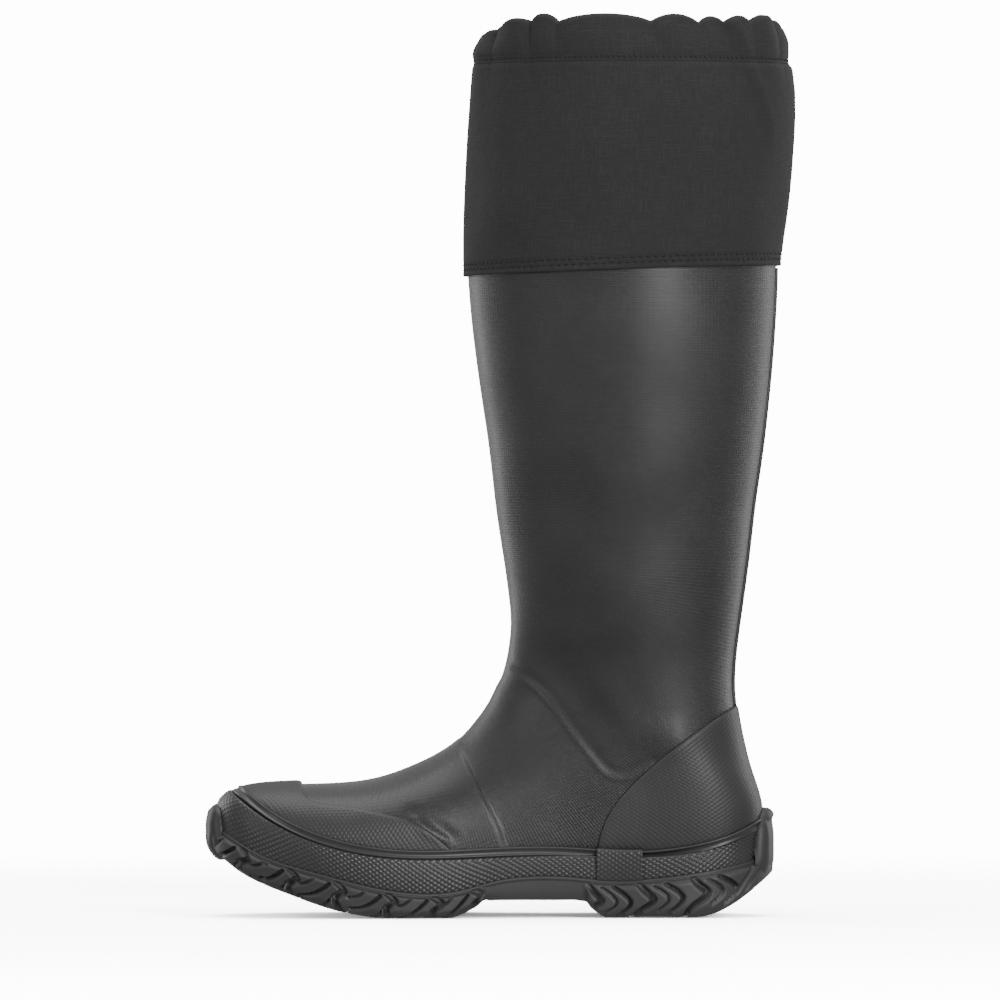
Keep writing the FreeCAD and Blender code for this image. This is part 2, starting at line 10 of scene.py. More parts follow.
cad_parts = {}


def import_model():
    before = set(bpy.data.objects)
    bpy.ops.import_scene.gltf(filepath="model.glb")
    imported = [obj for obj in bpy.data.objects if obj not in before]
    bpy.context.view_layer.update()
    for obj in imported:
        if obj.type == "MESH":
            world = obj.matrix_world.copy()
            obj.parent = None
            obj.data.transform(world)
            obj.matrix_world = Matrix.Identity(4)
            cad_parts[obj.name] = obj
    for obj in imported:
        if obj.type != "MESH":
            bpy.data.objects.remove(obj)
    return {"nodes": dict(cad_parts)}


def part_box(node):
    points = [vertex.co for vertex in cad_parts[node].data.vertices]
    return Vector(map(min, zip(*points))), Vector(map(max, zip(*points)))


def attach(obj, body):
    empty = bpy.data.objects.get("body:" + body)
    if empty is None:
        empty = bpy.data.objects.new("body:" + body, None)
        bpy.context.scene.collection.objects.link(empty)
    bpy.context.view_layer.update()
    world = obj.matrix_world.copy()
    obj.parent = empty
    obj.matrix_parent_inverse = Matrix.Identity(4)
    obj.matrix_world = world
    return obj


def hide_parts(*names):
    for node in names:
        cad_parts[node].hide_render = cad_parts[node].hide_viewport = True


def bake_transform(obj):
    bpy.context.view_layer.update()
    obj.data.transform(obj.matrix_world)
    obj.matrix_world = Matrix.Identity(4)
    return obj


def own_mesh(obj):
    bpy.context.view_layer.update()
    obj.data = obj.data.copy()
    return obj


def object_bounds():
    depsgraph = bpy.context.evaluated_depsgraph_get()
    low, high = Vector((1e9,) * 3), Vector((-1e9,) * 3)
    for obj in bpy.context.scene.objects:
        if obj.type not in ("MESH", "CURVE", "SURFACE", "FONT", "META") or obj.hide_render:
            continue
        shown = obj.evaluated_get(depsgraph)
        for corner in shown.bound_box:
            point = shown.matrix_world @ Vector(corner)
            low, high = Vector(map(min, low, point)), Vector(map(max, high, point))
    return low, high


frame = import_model()
nodes = frame["nodes"]
cad_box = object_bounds()

MM = 0.001
MIDDLE = -4.83          # middle of the boot's length, in the side view that the tables below use
AXIS_Y = 0.0015         # the spine of the boot, a little to the lateral side, in metres

# ---- tables, in millimetres
# Lines across the boot in side view, front point then back point, from the toe to the top.
FAN = [
    (-133.8, 56, -133.8, 42), (-110, 65, -110, 26), (-62, 67.8, -62, 17),
    (-38, 75.5, -30, 16.8), (-18, 86.5, 5, 18.5), (-7.5, 97.5, 38, 20.5),
    (-1, 107, 73, 22), (2.5, 114.5, 104, 22.5), (5, 120, 123.5, 27),
    (6.7, 125.5, 132, 38), (8, 131, 134, 54), (9.2, 138.5, 129.3, 70.5),
    (9.7, 147, 124.3, 90), (9.3, 156, 121, 113), (8, 167, 123, 140),
    (5.5, 182, 128.3, 182), (1.3, 215, 133, 215), (-4.5, 255, 138, 255),
    (-9.5, 295, 141.3, 295), (-12.6, 335.8, 142.5, 335.8),
]
# Outline of the upper from above: round the medial side to the heel and back.
OUTLINE = [
    (-134.2, -7), (-131.5, -22.5), (-124, -33), (-110, -41.3), (-90, -46.1),
    (-62, -47.2), (-32, -44.5), (-3, -39.3), (22, -36.3), (50, -35.2), (78, -35.6),
    (104, -34), (122, -25.5), (131.5, -13), (134.8, 1), (131.5, 15), (122, 28),
    (104, 37), (78, 41), (50, 44), (22, 47), (-3, 49.6), (-32, 51.6),
    (-62, 50.6), (-90, 45.2), (-110, 35.7), (-124, 22.8), (-131.5, 9),
]
SOLE_TOP = [
    (-200, 88), (-130, 40), (-112, 30.3), (-90, 23.5), (-61, 16), (-40, 12.6),
    (-17, 13.4), (1.5, 18.2), (20, 20.6), (40, 20.2), (60, 18.6), (82, 19.6),
    (115, 24.4), (139, 30), (200, 46),
]
TRIM_LOW = [
    (-200, 110), (-131.5, 63), (-114, 50.5), (-90, 38.6), (-58, 30.8), (-16, 29.6),
    (35, 31), (74, 30), (107, 33.6), (136.5, 46), (200, 74),
]
TRIM_HIGH = [
    (-200, 118), (-127, 65.3), (-108, 51.7), (-75, 38.4), (-40, 33.7), (0, 34.9),
    (40, 35.4), (74, 34), (99, 36.6), (124, 44.2), (136.5, 52), (200, 92),
]
# Where the upper is widest; the foxing stands upright below it and leans in above.
WIDEST = [(-200, 60), (-134, 48), (-110, 39), (-62, 33), (0, 36), (200, 40)]
# Tips of the lugs in side view; the waist has none.
TREAD = [
    (-150, 47), (-137, 31.5), (-120, 19.6), (-102, 12.2), (-80, 4.6), (-60, 0.6),
    (-50, 0), (-30, 0), (-17, 0.6), (-3, 7), (6, 7.8), (20, 7.8), (38, 7.8),
    (46, 7), (56, 0.4), (70, 0), (98, 0), (108, 0.8), (120, 5.8),
    (130, 12.5), (140, 20.5), (150, 30),
]
TOE_CAP_EDGE = [
    (-94.5, 92), (-94.6, 66), (-91.5, 59.5), (-75.5, 55.3), (-51.5, 51), (-38, 47),
    (-19, 33.5), (-8, 22),
]
COUNTER_EDGE = [
    (150, 122), (122.5, 105.5), (95, 87.5), (72, 68), (57, 48.5), (53, 35),
    (52.5, 20),
]
# Raised seam that crosses the ankle from the shin to the heel counter, and the vamp's edge.
ANKLE_SEAM = [
    (4, 132), (9.5, 123), (19, 116), (30.5, 104.5), (39.5, 92.5), (51, 78),
    (57, 71.5), (65, 69), (72, 70.5), (80, 75.5),
]
VAMP_SEAM = [(-16, 88.5), (-13.2, 79.5), (-8, 68.5), (-2.5, 57), (3.5, 45.5), (7, 34)]
# Folds of the gaiter, a sharp one down its back edge and a broad one across it.
BACK_FOLD = [(116, 447), (121, 441), (127, 426), (134, 409), (139, 394), (141, 368)]
BROAD_FOLD = [(12, 352), (48, 380), (92, 404)]
# Creases of the rubber: line, width, height.
FLEX_CREASES = [
    ([(-37, 49), (-33, 44.5), (-28, 41.5), (-22, 38.5)], 2, 0.8),
    ([(-40, 53.5), (-33, 50.5), (-26, 46), (-20, 40.5)], 2.6, -0.7),
    ([(56, 112), (64, 100), (76, 92), (90, 88)], 9, 0.9),
    ([(26, 118), (42, 112), (60, 97)], 10, -0.7),
    ([(10, 146), (34, 140), (58, 141)], 9, 0.5),
]


# ---- curves and grids
def spline(points, count, closed=False):
    """Points along the smooth curve through the given ones."""
    p = np.array(points, float)
    if closed:
        p = np.vstack([p[-4:], p, p[:5]])
    h = np.linalg.norm(np.diff(p, axis=0), axis=1)
    t = np.concatenate([[0], np.cumsum(h)])
    n = len(p)
    a = np.eye(n)
    b = np.zeros_like(p)
    for i in range(1, n - 1):
        a[i, i - 1:i + 2] = h[i - 1], 2 * (h[i - 1] + h[i]), h[i]
        b[i] = 6 * ((p[i + 1] - p[i]) / h[i] - (p[i] - p[i - 1]) / h[i - 1])
    m = np.linalg.solve(a, b)
    ends = (t[4], t[-5]) if closed else (t[0], t[-1])
    s = np.linspace(*ends, count, endpoint=not closed)
    i = np.clip(np.searchsorted(t, s, side="right") - 1, 0, n - 2)
    k = h[i][:, None]
    u = (s - t[i])[:, None]
    w = k - u
    cubic = (m[i] * w ** 3 + m[i + 1] * u ** 3) / (6 * k)
    return cubic + (p[i] / k - m[i] * k / 6) * w + (p[i + 1] / k - m[i + 1] * k / 6) * u


def to_frame(points):
    """Side-view or plan points in millimetres to metres in the row frame."""
    return (np.array(points, float) + (MIDDLE, 0)) * MM


def side_line(points):
    """Height as a function of x along a side-view line, in metres."""
    line = to_frame(spline(points, 600))
    return lambda x: np.interp(x, line[:, 0], line[:, 1])


def run_length(points):
    steps = np.linalg.norm(np.diff(points, axis=0), axis=-1)
    return np.concatenate([np.zeros_like(steps[:1]), np.cumsum(steps, axis=0)])


def ringed(points):
    """Points with the first one once more at the end."""
    return np.concatenate([points, points[:1]])


def even(points, count, closed=False):
    """The same curve with points at equal distances."""
    p = ringed(points) if closed else np.array(points)
    d = run_length(p)
    s = np.linspace(0, d[-1], count, endpoint=not closed)
    return np.stack([np.interp(s, d, column) for column in p.T], 1)


def widened(grid, reach, axis, wrap):
    """Grid with more cells at both ends of one axis."""
    pad = [(reach, reach) if k == axis else (0, 0) for k in range(grid.ndim)]
    return np.pad(grid, pad, **({"mode": "wrap"} if wrap else {"mode": "reflect", "reflect_type": "odd"}))


def smooth_rows(grid, width, axis, wrap):
    """Grid blurred along one axis with a bell of that width in cells."""
    reach = int(math.ceil(2.5 * width))
    weights = np.exp(-0.5 * (np.arange(-reach, reach + 1) / width) ** 2)
    weights /= weights.sum()
    wide = widened(grid, reach, axis, wrap)
    size = grid.shape[axis]
    return sum(w * np.take(wide, range(k, k + size), axis) for k, w in enumerate(weights))


def smooth_both(grid, width, width_round, wrap=False):
    """Grid blurred along its rows' order and round its columns."""
    return smooth_rows(smooth_rows(grid, width, 0, False), width_round, 1, wrap)


def resample(grid, where, axis, wrap):
    """Grid read at fractional places along one axis, with a smooth cubic."""
    i = np.floor(where).astype(int)
    f = (where - i).reshape([-1 if k == axis else 1 for k in range(grid.ndim)])
    wide = widened(grid, 2, axis, wrap)
    a, b, c, d = (np.take(wide, i + k, axis) for k in range(1, 5))
    return b + 0.5 * f * (c - a + f * (2 * a - 5 * b + 4 * c - d + f * (3 * (b - c) + d - a)))


def unit(v):
    return v / np.maximum(np.linalg.norm(v, axis=-1, keepdims=True), 1e-12)


def facing_out(directions, points):
    """Directions at points, turned away from the middle of the points."""
    away = points - points.reshape(-1, 3).mean(0)
    return directions * np.sign((directions * away).sum())


def normals(grid, wrap):
    """Unit normals out of a grid of points; columns run round, rows along."""
    across = np.roll(grid, -1, 1) - np.roll(grid, 1, 1) if wrap else np.gradient(grid, axis=1)
    return facing_out(unit(np.cross(np.gradient(grid, axis=0), across)), grid)


def circle(count):
    return 2 * pi * np.arange(count) / count


def smoothstep(x, low, high):
    t = np.clip((x - low) / (high - low), 0, 1)
    return t * t * (3 - 2 * t)


def bell(distance, width):
    return np.exp(-(distance / width) ** 2)


def line_distance(x, z, line):
    """Distance from side-view points to a line, positive to the right of its direction."""
    p = np.stack([x, z], -1)
    best, sign = np.full(x.shape, 1e9), np.ones(x.shape)
    for a, e in zip(line, np.diff(line, axis=0)):
        from_a = p - a
        off = from_a - np.clip(from_a @ e / (e @ e), 0, 1)[..., None] * e
        d = np.hypot(off[..., 0], off[..., 1])
        right = np.where(e[1] * from_a[..., 0] - e[0] * from_a[..., 1] >= 0, 1, -1)
        sign = np.where(d < best, right, sign)
        best = np.minimum(best, d)
    return best * sign


def hills(turn, v, waves):
    """Sum of slow waves (cycles round, cycles up, phase, size): soft irregularity with no randomness."""
    return sum(size * np.sin(a * turn + 2 * pi * b * v + phase) for a, b, phase, size in waves)


def diamonds(a, b, pitch_a, pitch_b):
    """Knurl of small four-sided points, 0 to 1."""
    u, v = a / pitch_a, b / pitch_b
    height = np.cos(pi * (u + v)) * np.cos(pi * (u - v))
    return np.abs(height) ** 0.8


# ---- meshes
def quads_of(rows, cols, wrap, first=0, flip=False):
    i, j = np.meshgrid(np.arange(rows - 1), np.arange(cols if wrap else cols - 1), indexing="ij")
    k = (j + 1) % cols
    q = np.stack([i * cols + j, i * cols + k, (i + 1) * cols + k, (i + 1) * cols + j], -1)
    q = q.reshape(-1, 4) + first
    return q[:, ::-1] if flip else q


def placed(name, data):
    """New object in the scene."""
    obj = bpy.data.objects.new(name, data)
    bpy.context.scene.collection.objects.link(obj)
    return obj


def finish_mesh(name, verts, faces, uv, material, weld=None):
    """Object from points, faces and one (u, v) in metres per face corner."""
    mesh = bpy.data.meshes.new(name)
    mesh.from_pydata([tuple(v) for v in verts], [], [tuple(f) for f in faces])
    layer = mesh.uv_layers.new(name="UVMap")
    layer.data.foreach_set("uv", np.asarray(uv, np.float32).ravel())
    if weld:
        bm = bmesh.new()
        bm.from_mesh(mesh)
        bmesh.ops.remove_doubles(bm, verts=bm.verts, dist=weld)
        bmesh.ops.dissolve_degenerate(bm, edges=bm.edges, dist=1e-7)
        bmesh.ops.recalc_face_normals(bm, faces=bm.faces)
        bm.to_mesh(mesh)
        bm.free()
    mesh.polygons.foreach_set("use_smooth", [True] * len(mesh.polygons))
    mesh.validate()
    obj = placed(name, mesh)
    mesh.materials.append(material)
    return obj


def from_grids(name, grids, material, weld=2e-6):
    """Object made of point grids (points, u row, v column, wraps, flipped), welded where they meet."""
    verts, faces, uv, first = [], [], [], 0
    for points, u, v, wrap, flip in grids:
        rows, cols = points.shape[:2]
        verts.append(points.reshape(-1, 3))
        faces.append(quads_of(rows, cols, wrap, first, flip))
        first += rows * cols
        flat_uv = np.stack(np.broadcast_arrays(u, v), -1).reshape(-1, 2)
        uv.append(flat_uv[quads_of(rows, cols + wrap, False, 0, flip)])
    return finish_mesh(name, np.vstack(verts), np.vstack(faces), np.vstack(uv), material, weld)


def overlay(name, base, out, height, inside, u, v, material, back=0.0004):
    """A raised piece on a grid of surface points, cut cleanly where inside crosses zero."""
    keep = inside > 0
    index = np.cumsum(keep).reshape(keep.shape) - 1
    uv = np.stack([u, v], -1)
    top = [*(base + out * height[..., None])[keep]]
    low = [*(base - out * back)[keep]]
    count = len(top)
    rim, rim_uv, seen = [], [], {}

    def crossing(*key):
        a, b = key = tuple(sorted(key))
        if key not in seen:
            f = inside[a] / (inside[a] - inside[b])
            seen[key] = 2 * count + len(rim)
            rim.append(base[a] * (1 - f) + base[b] * f)
            rim_uv.append(uv[a] * (1 - f) + uv[b] * f)
        return seen[key]

    faces = []
    some = keep[:-1, :-1] | keep[:-1, 1:] | keep[1:, 1:] | keep[1:, :-1]
    for i, j in zip(*np.nonzero(some)):
        corners = [(i, j), (i, j + 1), (i + 1, j + 1), (i + 1, j)]
        loop = []
        for a, b in zip(corners, corners[1:] + corners[:1]):
            if keep[a]:
                loop.append(index[a])
            if keep[a] != keep[b]:
                loop.append(crossing(a, b))
        if len(loop) > 2:
            faces.append(loop)
    every_uv = [*uv[keep], *uv[keep], *rim_uv]
    faces += [[k + count if k < count else k for k in f][::-1] for f in faces]
    return finish_mesh(name, top + low + rim, faces, [every_uv[k] for f in faces for k in f], material)


def settle(obj, body, *names):
    """The piece takes the place of CAD nodes and rides on a body."""
    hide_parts(*names)
    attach(obj, body)


def tree_of(*names):
    """Search tree over CAD nodes."""
    verts, polys = [], []
    for n in names:
        mesh = nodes[n].data
        first = len(verts)
        verts += [v.co.copy() for v in mesh.vertices]
        polys += [[first + k for k in p.vertices] for p in mesh.polygons]
    return BVHTree.FromPolygons(verts, polys)


def reaches(tree, centres, directions, start=0.3):
    """Distance from each centre to the surface along each of its directions, met on the way in from start, or
    on the way out where start is 0."""
    directions = np.broadcast_to(directions, (len(centres), *directions.shape[-2:]))
    table = np.full(directions.shape[:2], math.nan)
    for i, j in np.ndindex(table.shape):
        d = directions[i, j]
        hit = tree.ray_cast(Vector(np.add(centres[i], d * start)), Vector(-d if start else d), start or 0.3)
        if hit[0] is not None:
            table[i, j] = abs(start - hit[3])
    return table


def filled(values):
    """Missing numbers in a row of distances taken from their neighbours."""
    good = ~np.isnan(values)
    places = np.arange(len(values))
    return np.interp(places, places[good], values[good]) if good.any() else values


def met(tree, centres, fan, start):
    """Points on a tree met by the rays of a fan about each centre."""
    reach = np.apply_along_axis(filled, 1, reaches(tree, centres, fan, start))
    return np.array(centres)[:, None] + fan * reach[..., None]


def fan_rays(tree, stations, angles, start=0.3):
    """Centres on the boot's spine, directions round them and reaches: rows along the fan, columns round."""
    lines = spline(FAN, stations)
    front, back = to_frame(lines[:, :2]), to_frame(lines[:, 2:])
    centres = np.insert((front + back) / 2, 1, AXIS_Y, axis=1)
    turn = circle(angles)[:, None]
    dirs = np.cos(turn) * np.insert(unit(front - back), 1, 0, axis=1)[:, None] + np.sin(turn) * (0, 1, 0)
    r = np.apply_along_axis(filled, 0, reaches(tree, centres, dirs, start))
    wide = np.pad(r, ((2, 2), (0, 0)), mode="edge")
    middle = np.median([wide[k:k + stations] for k in range(5)], 0)
    return centres, dirs, np.where(np.abs(r - middle) > 0.0012, middle, r)


# ---- materials
class Shader:
    """A node material built in a few lines."""

    def __init__(self, name, **sockets):
        self.material = bpy.data.materials.new(name)
        self.material.use_nodes = True
        self.tree = self.material.node_tree
        self.bsdf = self.tree.nodes["Principled BSDF"]
        for key, value in sockets.items():
            self.bsdf.inputs[key.replace("_", " ")].default_value = value
        self.coords = self.tree.nodes.new("ShaderNodeTexCoord")

    def add(self, kind, inputs, output=0, **settings):
        made = self.tree.nodes.new("ShaderNode" + kind)
        for key, value in settings.items():
            setattr(made, key, value)
        for key, value in inputs.items():
            if isinstance(value, bpy.types.NodeSocket):
                self.tree.links.new(value, made.inputs[key])
            else:
                made.inputs[key].default_value = value
        return made.outputs[output]

    def mapped(self, scale, source="UV", turn=0):
        return self.add("Mapping", {"Vector": self.coords.outputs[source], "Scale": scale,
                                    "Rotation": (0, 0, turn)})

    def noise(self, scale, detail=3, source="Object", stretch=(1, 1, 1)):
        vector = self.mapped(stretch, source)
        return self.add("TexNoise", {"Vector": vector, "Scale": scale, "Detail": detail})

    def wave(self, period, distortion, detail_scale, source="UV", turn=0):
        vector = self.mapped((1, 1, 1), source, turn)
        return self.add("TexWave", {"Vector": vector, "Scale": pi / 10 / period, "Detail": 1,
                                    "Distortion": distortion, "Detail Scale": detail_scale}, output=1)

    def math(self, operation, a, b):
        return self.add("Math", {0: a, 1: b}, operation=operation)

    def span(self, value, low, high, to_low, to_high):
        return self.add("MapRange", {"Value": value, "From Min": low, "From Max": high,
                                     "To Min": to_low, "To Max": to_high})

    def tint(self, factor, a, b):
        return self.add("Mix", {0: factor, 6: (*a, 1), 7: (*b, 1)}, output=2, data_type="RGBA")

    def bump(self, heights):
        """Bumps added one on another: (height socket, depth in metres)."""
        normal = {}
        for height, depth in heights:
            normal = {"Normal": self.add("Bump", {"Distance": depth, "Height": height, **normal})}
        self.set(**normal)

    def set(self, **links):
        for key, value in links.items():
            self.tree.links.new(value, self.bsdf.inputs[key.replace("_", " ")])
        return self.material


def rubber(name, dark, light, rough, weave=0, coat=0):
    """Black rubber: cloudy bloom, painted shade that darkens the hollows, fine grain and, on the shaft,
    telegraphed weave.
    """
    s = Shader(name, Specular_IOR_Level=0.5, Coat_Weight=coat, Coat_Roughness=0.28)
    cloud = s.noise(28, 5)
    speck = s.noise(900, 2)
    patch = s.noise(9, 3)
    # Painted shade: the colour is darker where the surface is hollow and lighter on raised edges, read from
    # the surface's pointiness.
    cavity = s.add("NewGeometry", {}, output=7)
    painted_hollow_shade = s.span(cavity, 0.49, 0.53, 0, 1)
    factor = s.math("ADD", s.span(cloud, 0.35, 0.7, 0, 0.6), s.math("MULTIPLY", painted_hollow_shade, 0.35))
    colour = s.tint(factor, dark, light)
    r = s.math("ADD", s.span(patch, 0.3, 0.7, rough - 0.05, rough + 0.06),
               s.span(speck, 0.3, 0.7, -0.02, 0.02))
    heights = [(speck, 0.00002), (cloud, 0.00016)]
    if weave:
        rows = s.wave(0.0013, 1.2, 60, turn=pi / 2)
        columns = s.wave(0.0019, 1, 60)
        heights += [(rows, weave), (columns, weave * 0.45)]
    s.bump(heights)
    return s.set(Base_Color=colour, Roughness=r)


def cloth(name, dark, light, pitch, depth, streaks=0, rough=0.86, sheen=0.1, knit=False, source="UV"):
    """Woven or knitted cloth: threads, fibres and, where streaks says how strong, uneven yarns both ways."""
    s = Shader(name, Sheen_Weight=sheen, Sheen_Roughness=0.45, Specular_IOR_Level=0.3)
    warp = s.wave(pitch, 0.6, 300, source)
    weft = s.wave(pitch * (0.7 if knit else 1), 0.6, 300, source, pi / 2)
    weave = s.math("MULTIPLY", warp, weft)
    fibre = s.noise(2600, 2, source, stretch=(1, 0.35, 1))
    across = s.noise(1, 1, source, stretch=(110, 1500, 1))
    along = s.noise(1, 1, source, stretch=(1500, 110, 1))
    yarn = s.math("MAXIMUM", across, along)
    cloud = s.noise(22, 3)
    s.bump([(weave, depth), (fibre, depth * 0.5), (yarn, depth * (0.6 + 2.4 * streaks))])
    pale = s.math("ADD", s.span(weave, 0.1, 0.8, 0, 0.35),
                  s.span(yarn, 0.5, 0.85, 0, 0.15 + 0.5 * streaks))
    colour = s.tint(s.math("MULTIPLY", pale, s.span(cloud, 0.3, 0.7, 0.6, 1.1)), dark, light)
    return s.set(Base_Color=colour, Roughness=s.span(fibre, 0.2, 0.8, rough - 0.08, rough + 0.06))


def foam_like(name, dark, light, cell, depth, rough):
    """Foam or pressed board: open cells or fibres in it."""
    s = Shader(name, Specular_IOR_Level=0.3)
    cells = s.add("TexVoronoi", {"Vector": s.coords.outputs["Object"], "Scale": 1 / cell})
    cloud = s.noise(60, 4)
    s.bump([(cells, depth), (cloud, depth)])
    return s.set(Base_Color=s.tint(s.span(cloud, 0.3, 0.7, 0, 1), dark, light),
                 Roughness=s.span(cells, 0, 0.8, rough - 0.1, rough + 0.05))


RUBBER = rubber("smooth_rubber", (0.006, 0.006, 0.0065), (0.018, 0.018, 0.019), 0.34, 0.00007, coat=0.12)
TRIM = rubber("trim_rubber", (0.013, 0.013, 0.014), (0.028, 0.028, 0.03), 0.36, coat=0.1)
TEXTURED = rubber("textured_rubber", (0.016, 0.016, 0.017), (0.034, 0.034, 0.036), 0.46)
KNURLED = rubber("knurled_rubber", (0.013, 0.013, 0.014), (0.03, 0.03, 0.032), 0.36, coat=0.1)
SOLE = rubber("outsole_rubber", (0.016, 0.016, 0.017), (0.036, 0.0355, 0.037), 0.48)
GAITER = cloth("gaiter_cloth", (0.02, 0.02, 0.021), (0.052, 0.052, 0.054), 0.00052, 0.0001, streaks=0.5,
               sheen=0.03)
LINING = cloth("lining_cloth", (0.02, 0.02, 0.022), (0.1, 0.1, 0.105), 0.0011, 0.00025, knit=True)
FOOTBED = cloth("footbed_cloth", (0.018, 0.018, 0.02), (0.075, 0.075, 0.08), 0.0012, 0.0002, knit=True,
                source="Object")
BINDING = cloth("binding_cloth", (0.006, 0.006, 0.007), (0.03, 0.03, 0.032), 0.0007, 0.0002, rough=0.7)
ELASTIC = cloth("elastic", (0.02, 0.02, 0.02), (0.09, 0.09, 0.09), 0.0009, 0.0003)
THREAD = cloth("thread", (0.004, 0.004, 0.005), (0.02, 0.02, 0.022), 0.0005, 0.0001, rough=0.6,
               source="Object")
FOAM = foam_like("foam", (0.03, 0.03, 0.032), (0.07, 0.07, 0.072), 0.0011, 0.0002, 0.85)
BOARD = foam_like("board", (0.16, 0.12, 0.08), (0.27, 0.21, 0.15), 0.0016, 0.0001, 0.85)
STIFF = foam_like("stiffener", (0.1, 0.095, 0.085), (0.2, 0.19, 0.17), 0.0009, 0.0001, 0.7)


for kept, finish in (("midsole", FOAM), ("insole_board", BOARD), ("toe_puff", STIFF),
                     ("heel_stiffener", STIFF)):
    data = nodes[kept].data
    data.materials.clear()
    data.materials.append(finish)


# ---- the rubber upper
STATIONS, ROUND = 190, 168
outer_tree = tree_of("foot_upper", "insole_board", "ankle_rubber", "leg_shell")
centres, dirs, reach = fan_rays(outer_tree, STATIONS, ROUND)
reach = smooth_both(reach, 1.6, 1.3, wrap=True)
coarse = centres[:, None] + dirs * reach[..., None]

low_part = np.linspace(0, 0.7 * (STATIONS - 1), 236)
high_part = np.linspace(low_part[-1], STATIONS - 1, 46)[1:]
rows_at = np.concatenate([low_part, high_part])
FINE_ROUND = 264
skin = resample(coarse, rows_at, 0, False)
skin = resample(skin, np.arange(FINE_ROUND) * ROUND / FINE_ROUND, 1, True)
skin_out = normals(skin, True)

trim_low, trim_high, sole_top, tread = (side_line(t) for t in (TRIM_LOW, TRIM_HIGH, SOLE_TOP, TREAD))
cap_edge, counter_edge = to_frame(spline(TOE_CAP_EDGE, 60)), to_frame(spline(COUNTER_EDGE, 60))


def moulded(x, y, z):
    """Relief of the upper: the ankle seam's ridge, the vamp's edge and soft flex creases."""
    side = smoothstep(np.abs(y - AXIS_Y), 0.002, 0.012)
    seam = line_distance(x, z, to_frame(spline(ANKLE_SEAM, 40)))
    ridge = bell(seam, 0.0014) * 0.00045 - bell(seam + 0.003, 0.0026) * 0.0004
    tail = smoothstep(x, to_frame(ANKLE_SEAM)[0, 0], to_frame(ANKLE_SEAM)[1, 0])
    vamp = line_distance(x, z, to_frame(spline(VAMP_SEAM, 30)))
    step = (smoothstep(vamp, -0.0008, 0.0008) - 0.5) * bell(vamp, 0.014) * 0.0011
    relief = ridge * tail * side + step * side
    for points, width, height in FLEX_CREASES:
        crease = line_distance(x, z, to_frame(spline(points, 20)))
        relief = relief + bell(crease, width * MM) * height * MM * side
    return relief


level = run_length(skin[:, FINE_ROUND // 4])
slow = hills(circle(FINE_ROUND), level[:, None] / 0.45,
             [(2, 3, 0.4, 0.00016), (3, -5, 2.1, 0.00012), (1, 7, 4, 0.00014), (5, 9, 1.2, 0.00007)])
relief = moulded(skin[..., 0], skin[..., 1], skin[..., 2]) + slow * smoothstep(skin[..., 2], 0.1, 0.2)
face = skin + skin_out * relief[..., None]
inner_face = skin - skin_out * 0.0021


def bends(obj, *names):
    """The piece takes the place of CAD nodes, with its placement baked into its points."""
    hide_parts(*names)
    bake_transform(obj)


def boot(name, face, back, behind, rim, rim_v, u, v, material, flip=False):
    """Two faces that close over the toe, with a rim between them at the top."""
    tip = face[0].mean(0)
    v = np.concatenate([[0], v + 0.01])[:, None]
    grids = [(np.concatenate([np.broadcast_to(pole, grid[:1].shape), grid]), u, v, True, turned)
             for grid, pole, turned in ((face, tip, flip), (back, tip + behind, not flip))]
    rim = np.stack([face[-1], *rim, back[-1]])
    return from_grids(name, grids + [(rim, u, np.array(rim_v)[:, None], True, False)], material)


def round_u(ring, last):
    """Run round a ring of points, with last as the step that closes it."""
    run = run_length(ring)
    return np.append(run, run[-1] + last)[None]


top_edge = (face[-1] + inner_face[-1]) / 2 + [0, 0, 0.0004]
upper = boot("upper_skin", face, inner_face, (0.002, 0, 0), [top_edge], (0.45, 0.451, 0.452),
             round_u(skin[len(skin) // 2], 0.0015), level, RUBBER)
bends(upper, "foot_upper", "ankle_rubber", "leg_shell")
skin_tree = BVHTree.FromPolygons([tuple(p) for p in face.reshape(-1, 3)],
                                 [tuple(q) for q in quads_of(*face.shape[:2], True)])


# ---- toe cap and heel counter
def even_columns(grid, spacing, middle):
    """Rows read at equal distances either side of the middle column, and where they have anything to read."""
    runs = [run_length(row) - run_length(row)[middle] for row in grid]
    count = int(np.abs(runs).max() / spacing)
    at = np.arange(-count, count + 1) * spacing
    made = [[np.interp(at, run, column) for column in row.T] for row, run in zip(grid, runs)]
    live = [(at > run[0]) & (at < run[-1]) for run in runs]
    return np.array(made).transpose(0, 2, 1), np.array(live), at


def rounded(depth, width, height):
    """Height of an edge that rolls over in width."""
    t = np.clip(depth / width, 0, 1)
    return height * np.sqrt(1 - (1 - t) ** 2)


def knurled(name, centres, fan, spacing, edge, side, upright, nub):
    """Textured panel on the skin, found by a fan of rays from each centre, cut at its edge and the trim."""
    grid = smooth_both(met(skin_tree, centres, fan, 0.16), 1.5, 1)
    base, live, at = even_columns(grid, spacing, len(fan) // 2)
    out = normals(base, False)
    x, z = base[..., 0], base[..., 2]
    depth = np.minimum(side * line_distance(x, z, edge), z - trim_high(x) + 0.0018)
    depth = np.where(live, depth, -0.002)
    across = np.broadcast_to(at, x.shape)
    u, v = (across, z) if upright else (x, across)
    points = diamonds(u, v, 0.0032, 0.002) if upright else diamonds(u, v, 0.0022, 0.0034)
    height = rounded(depth, 0.0012, 0.0017) + points * nub * smoothstep(depth, 0.0012, 0.0024)
    return overlay(name, base, out, height, depth, u, v, TEXTURED)


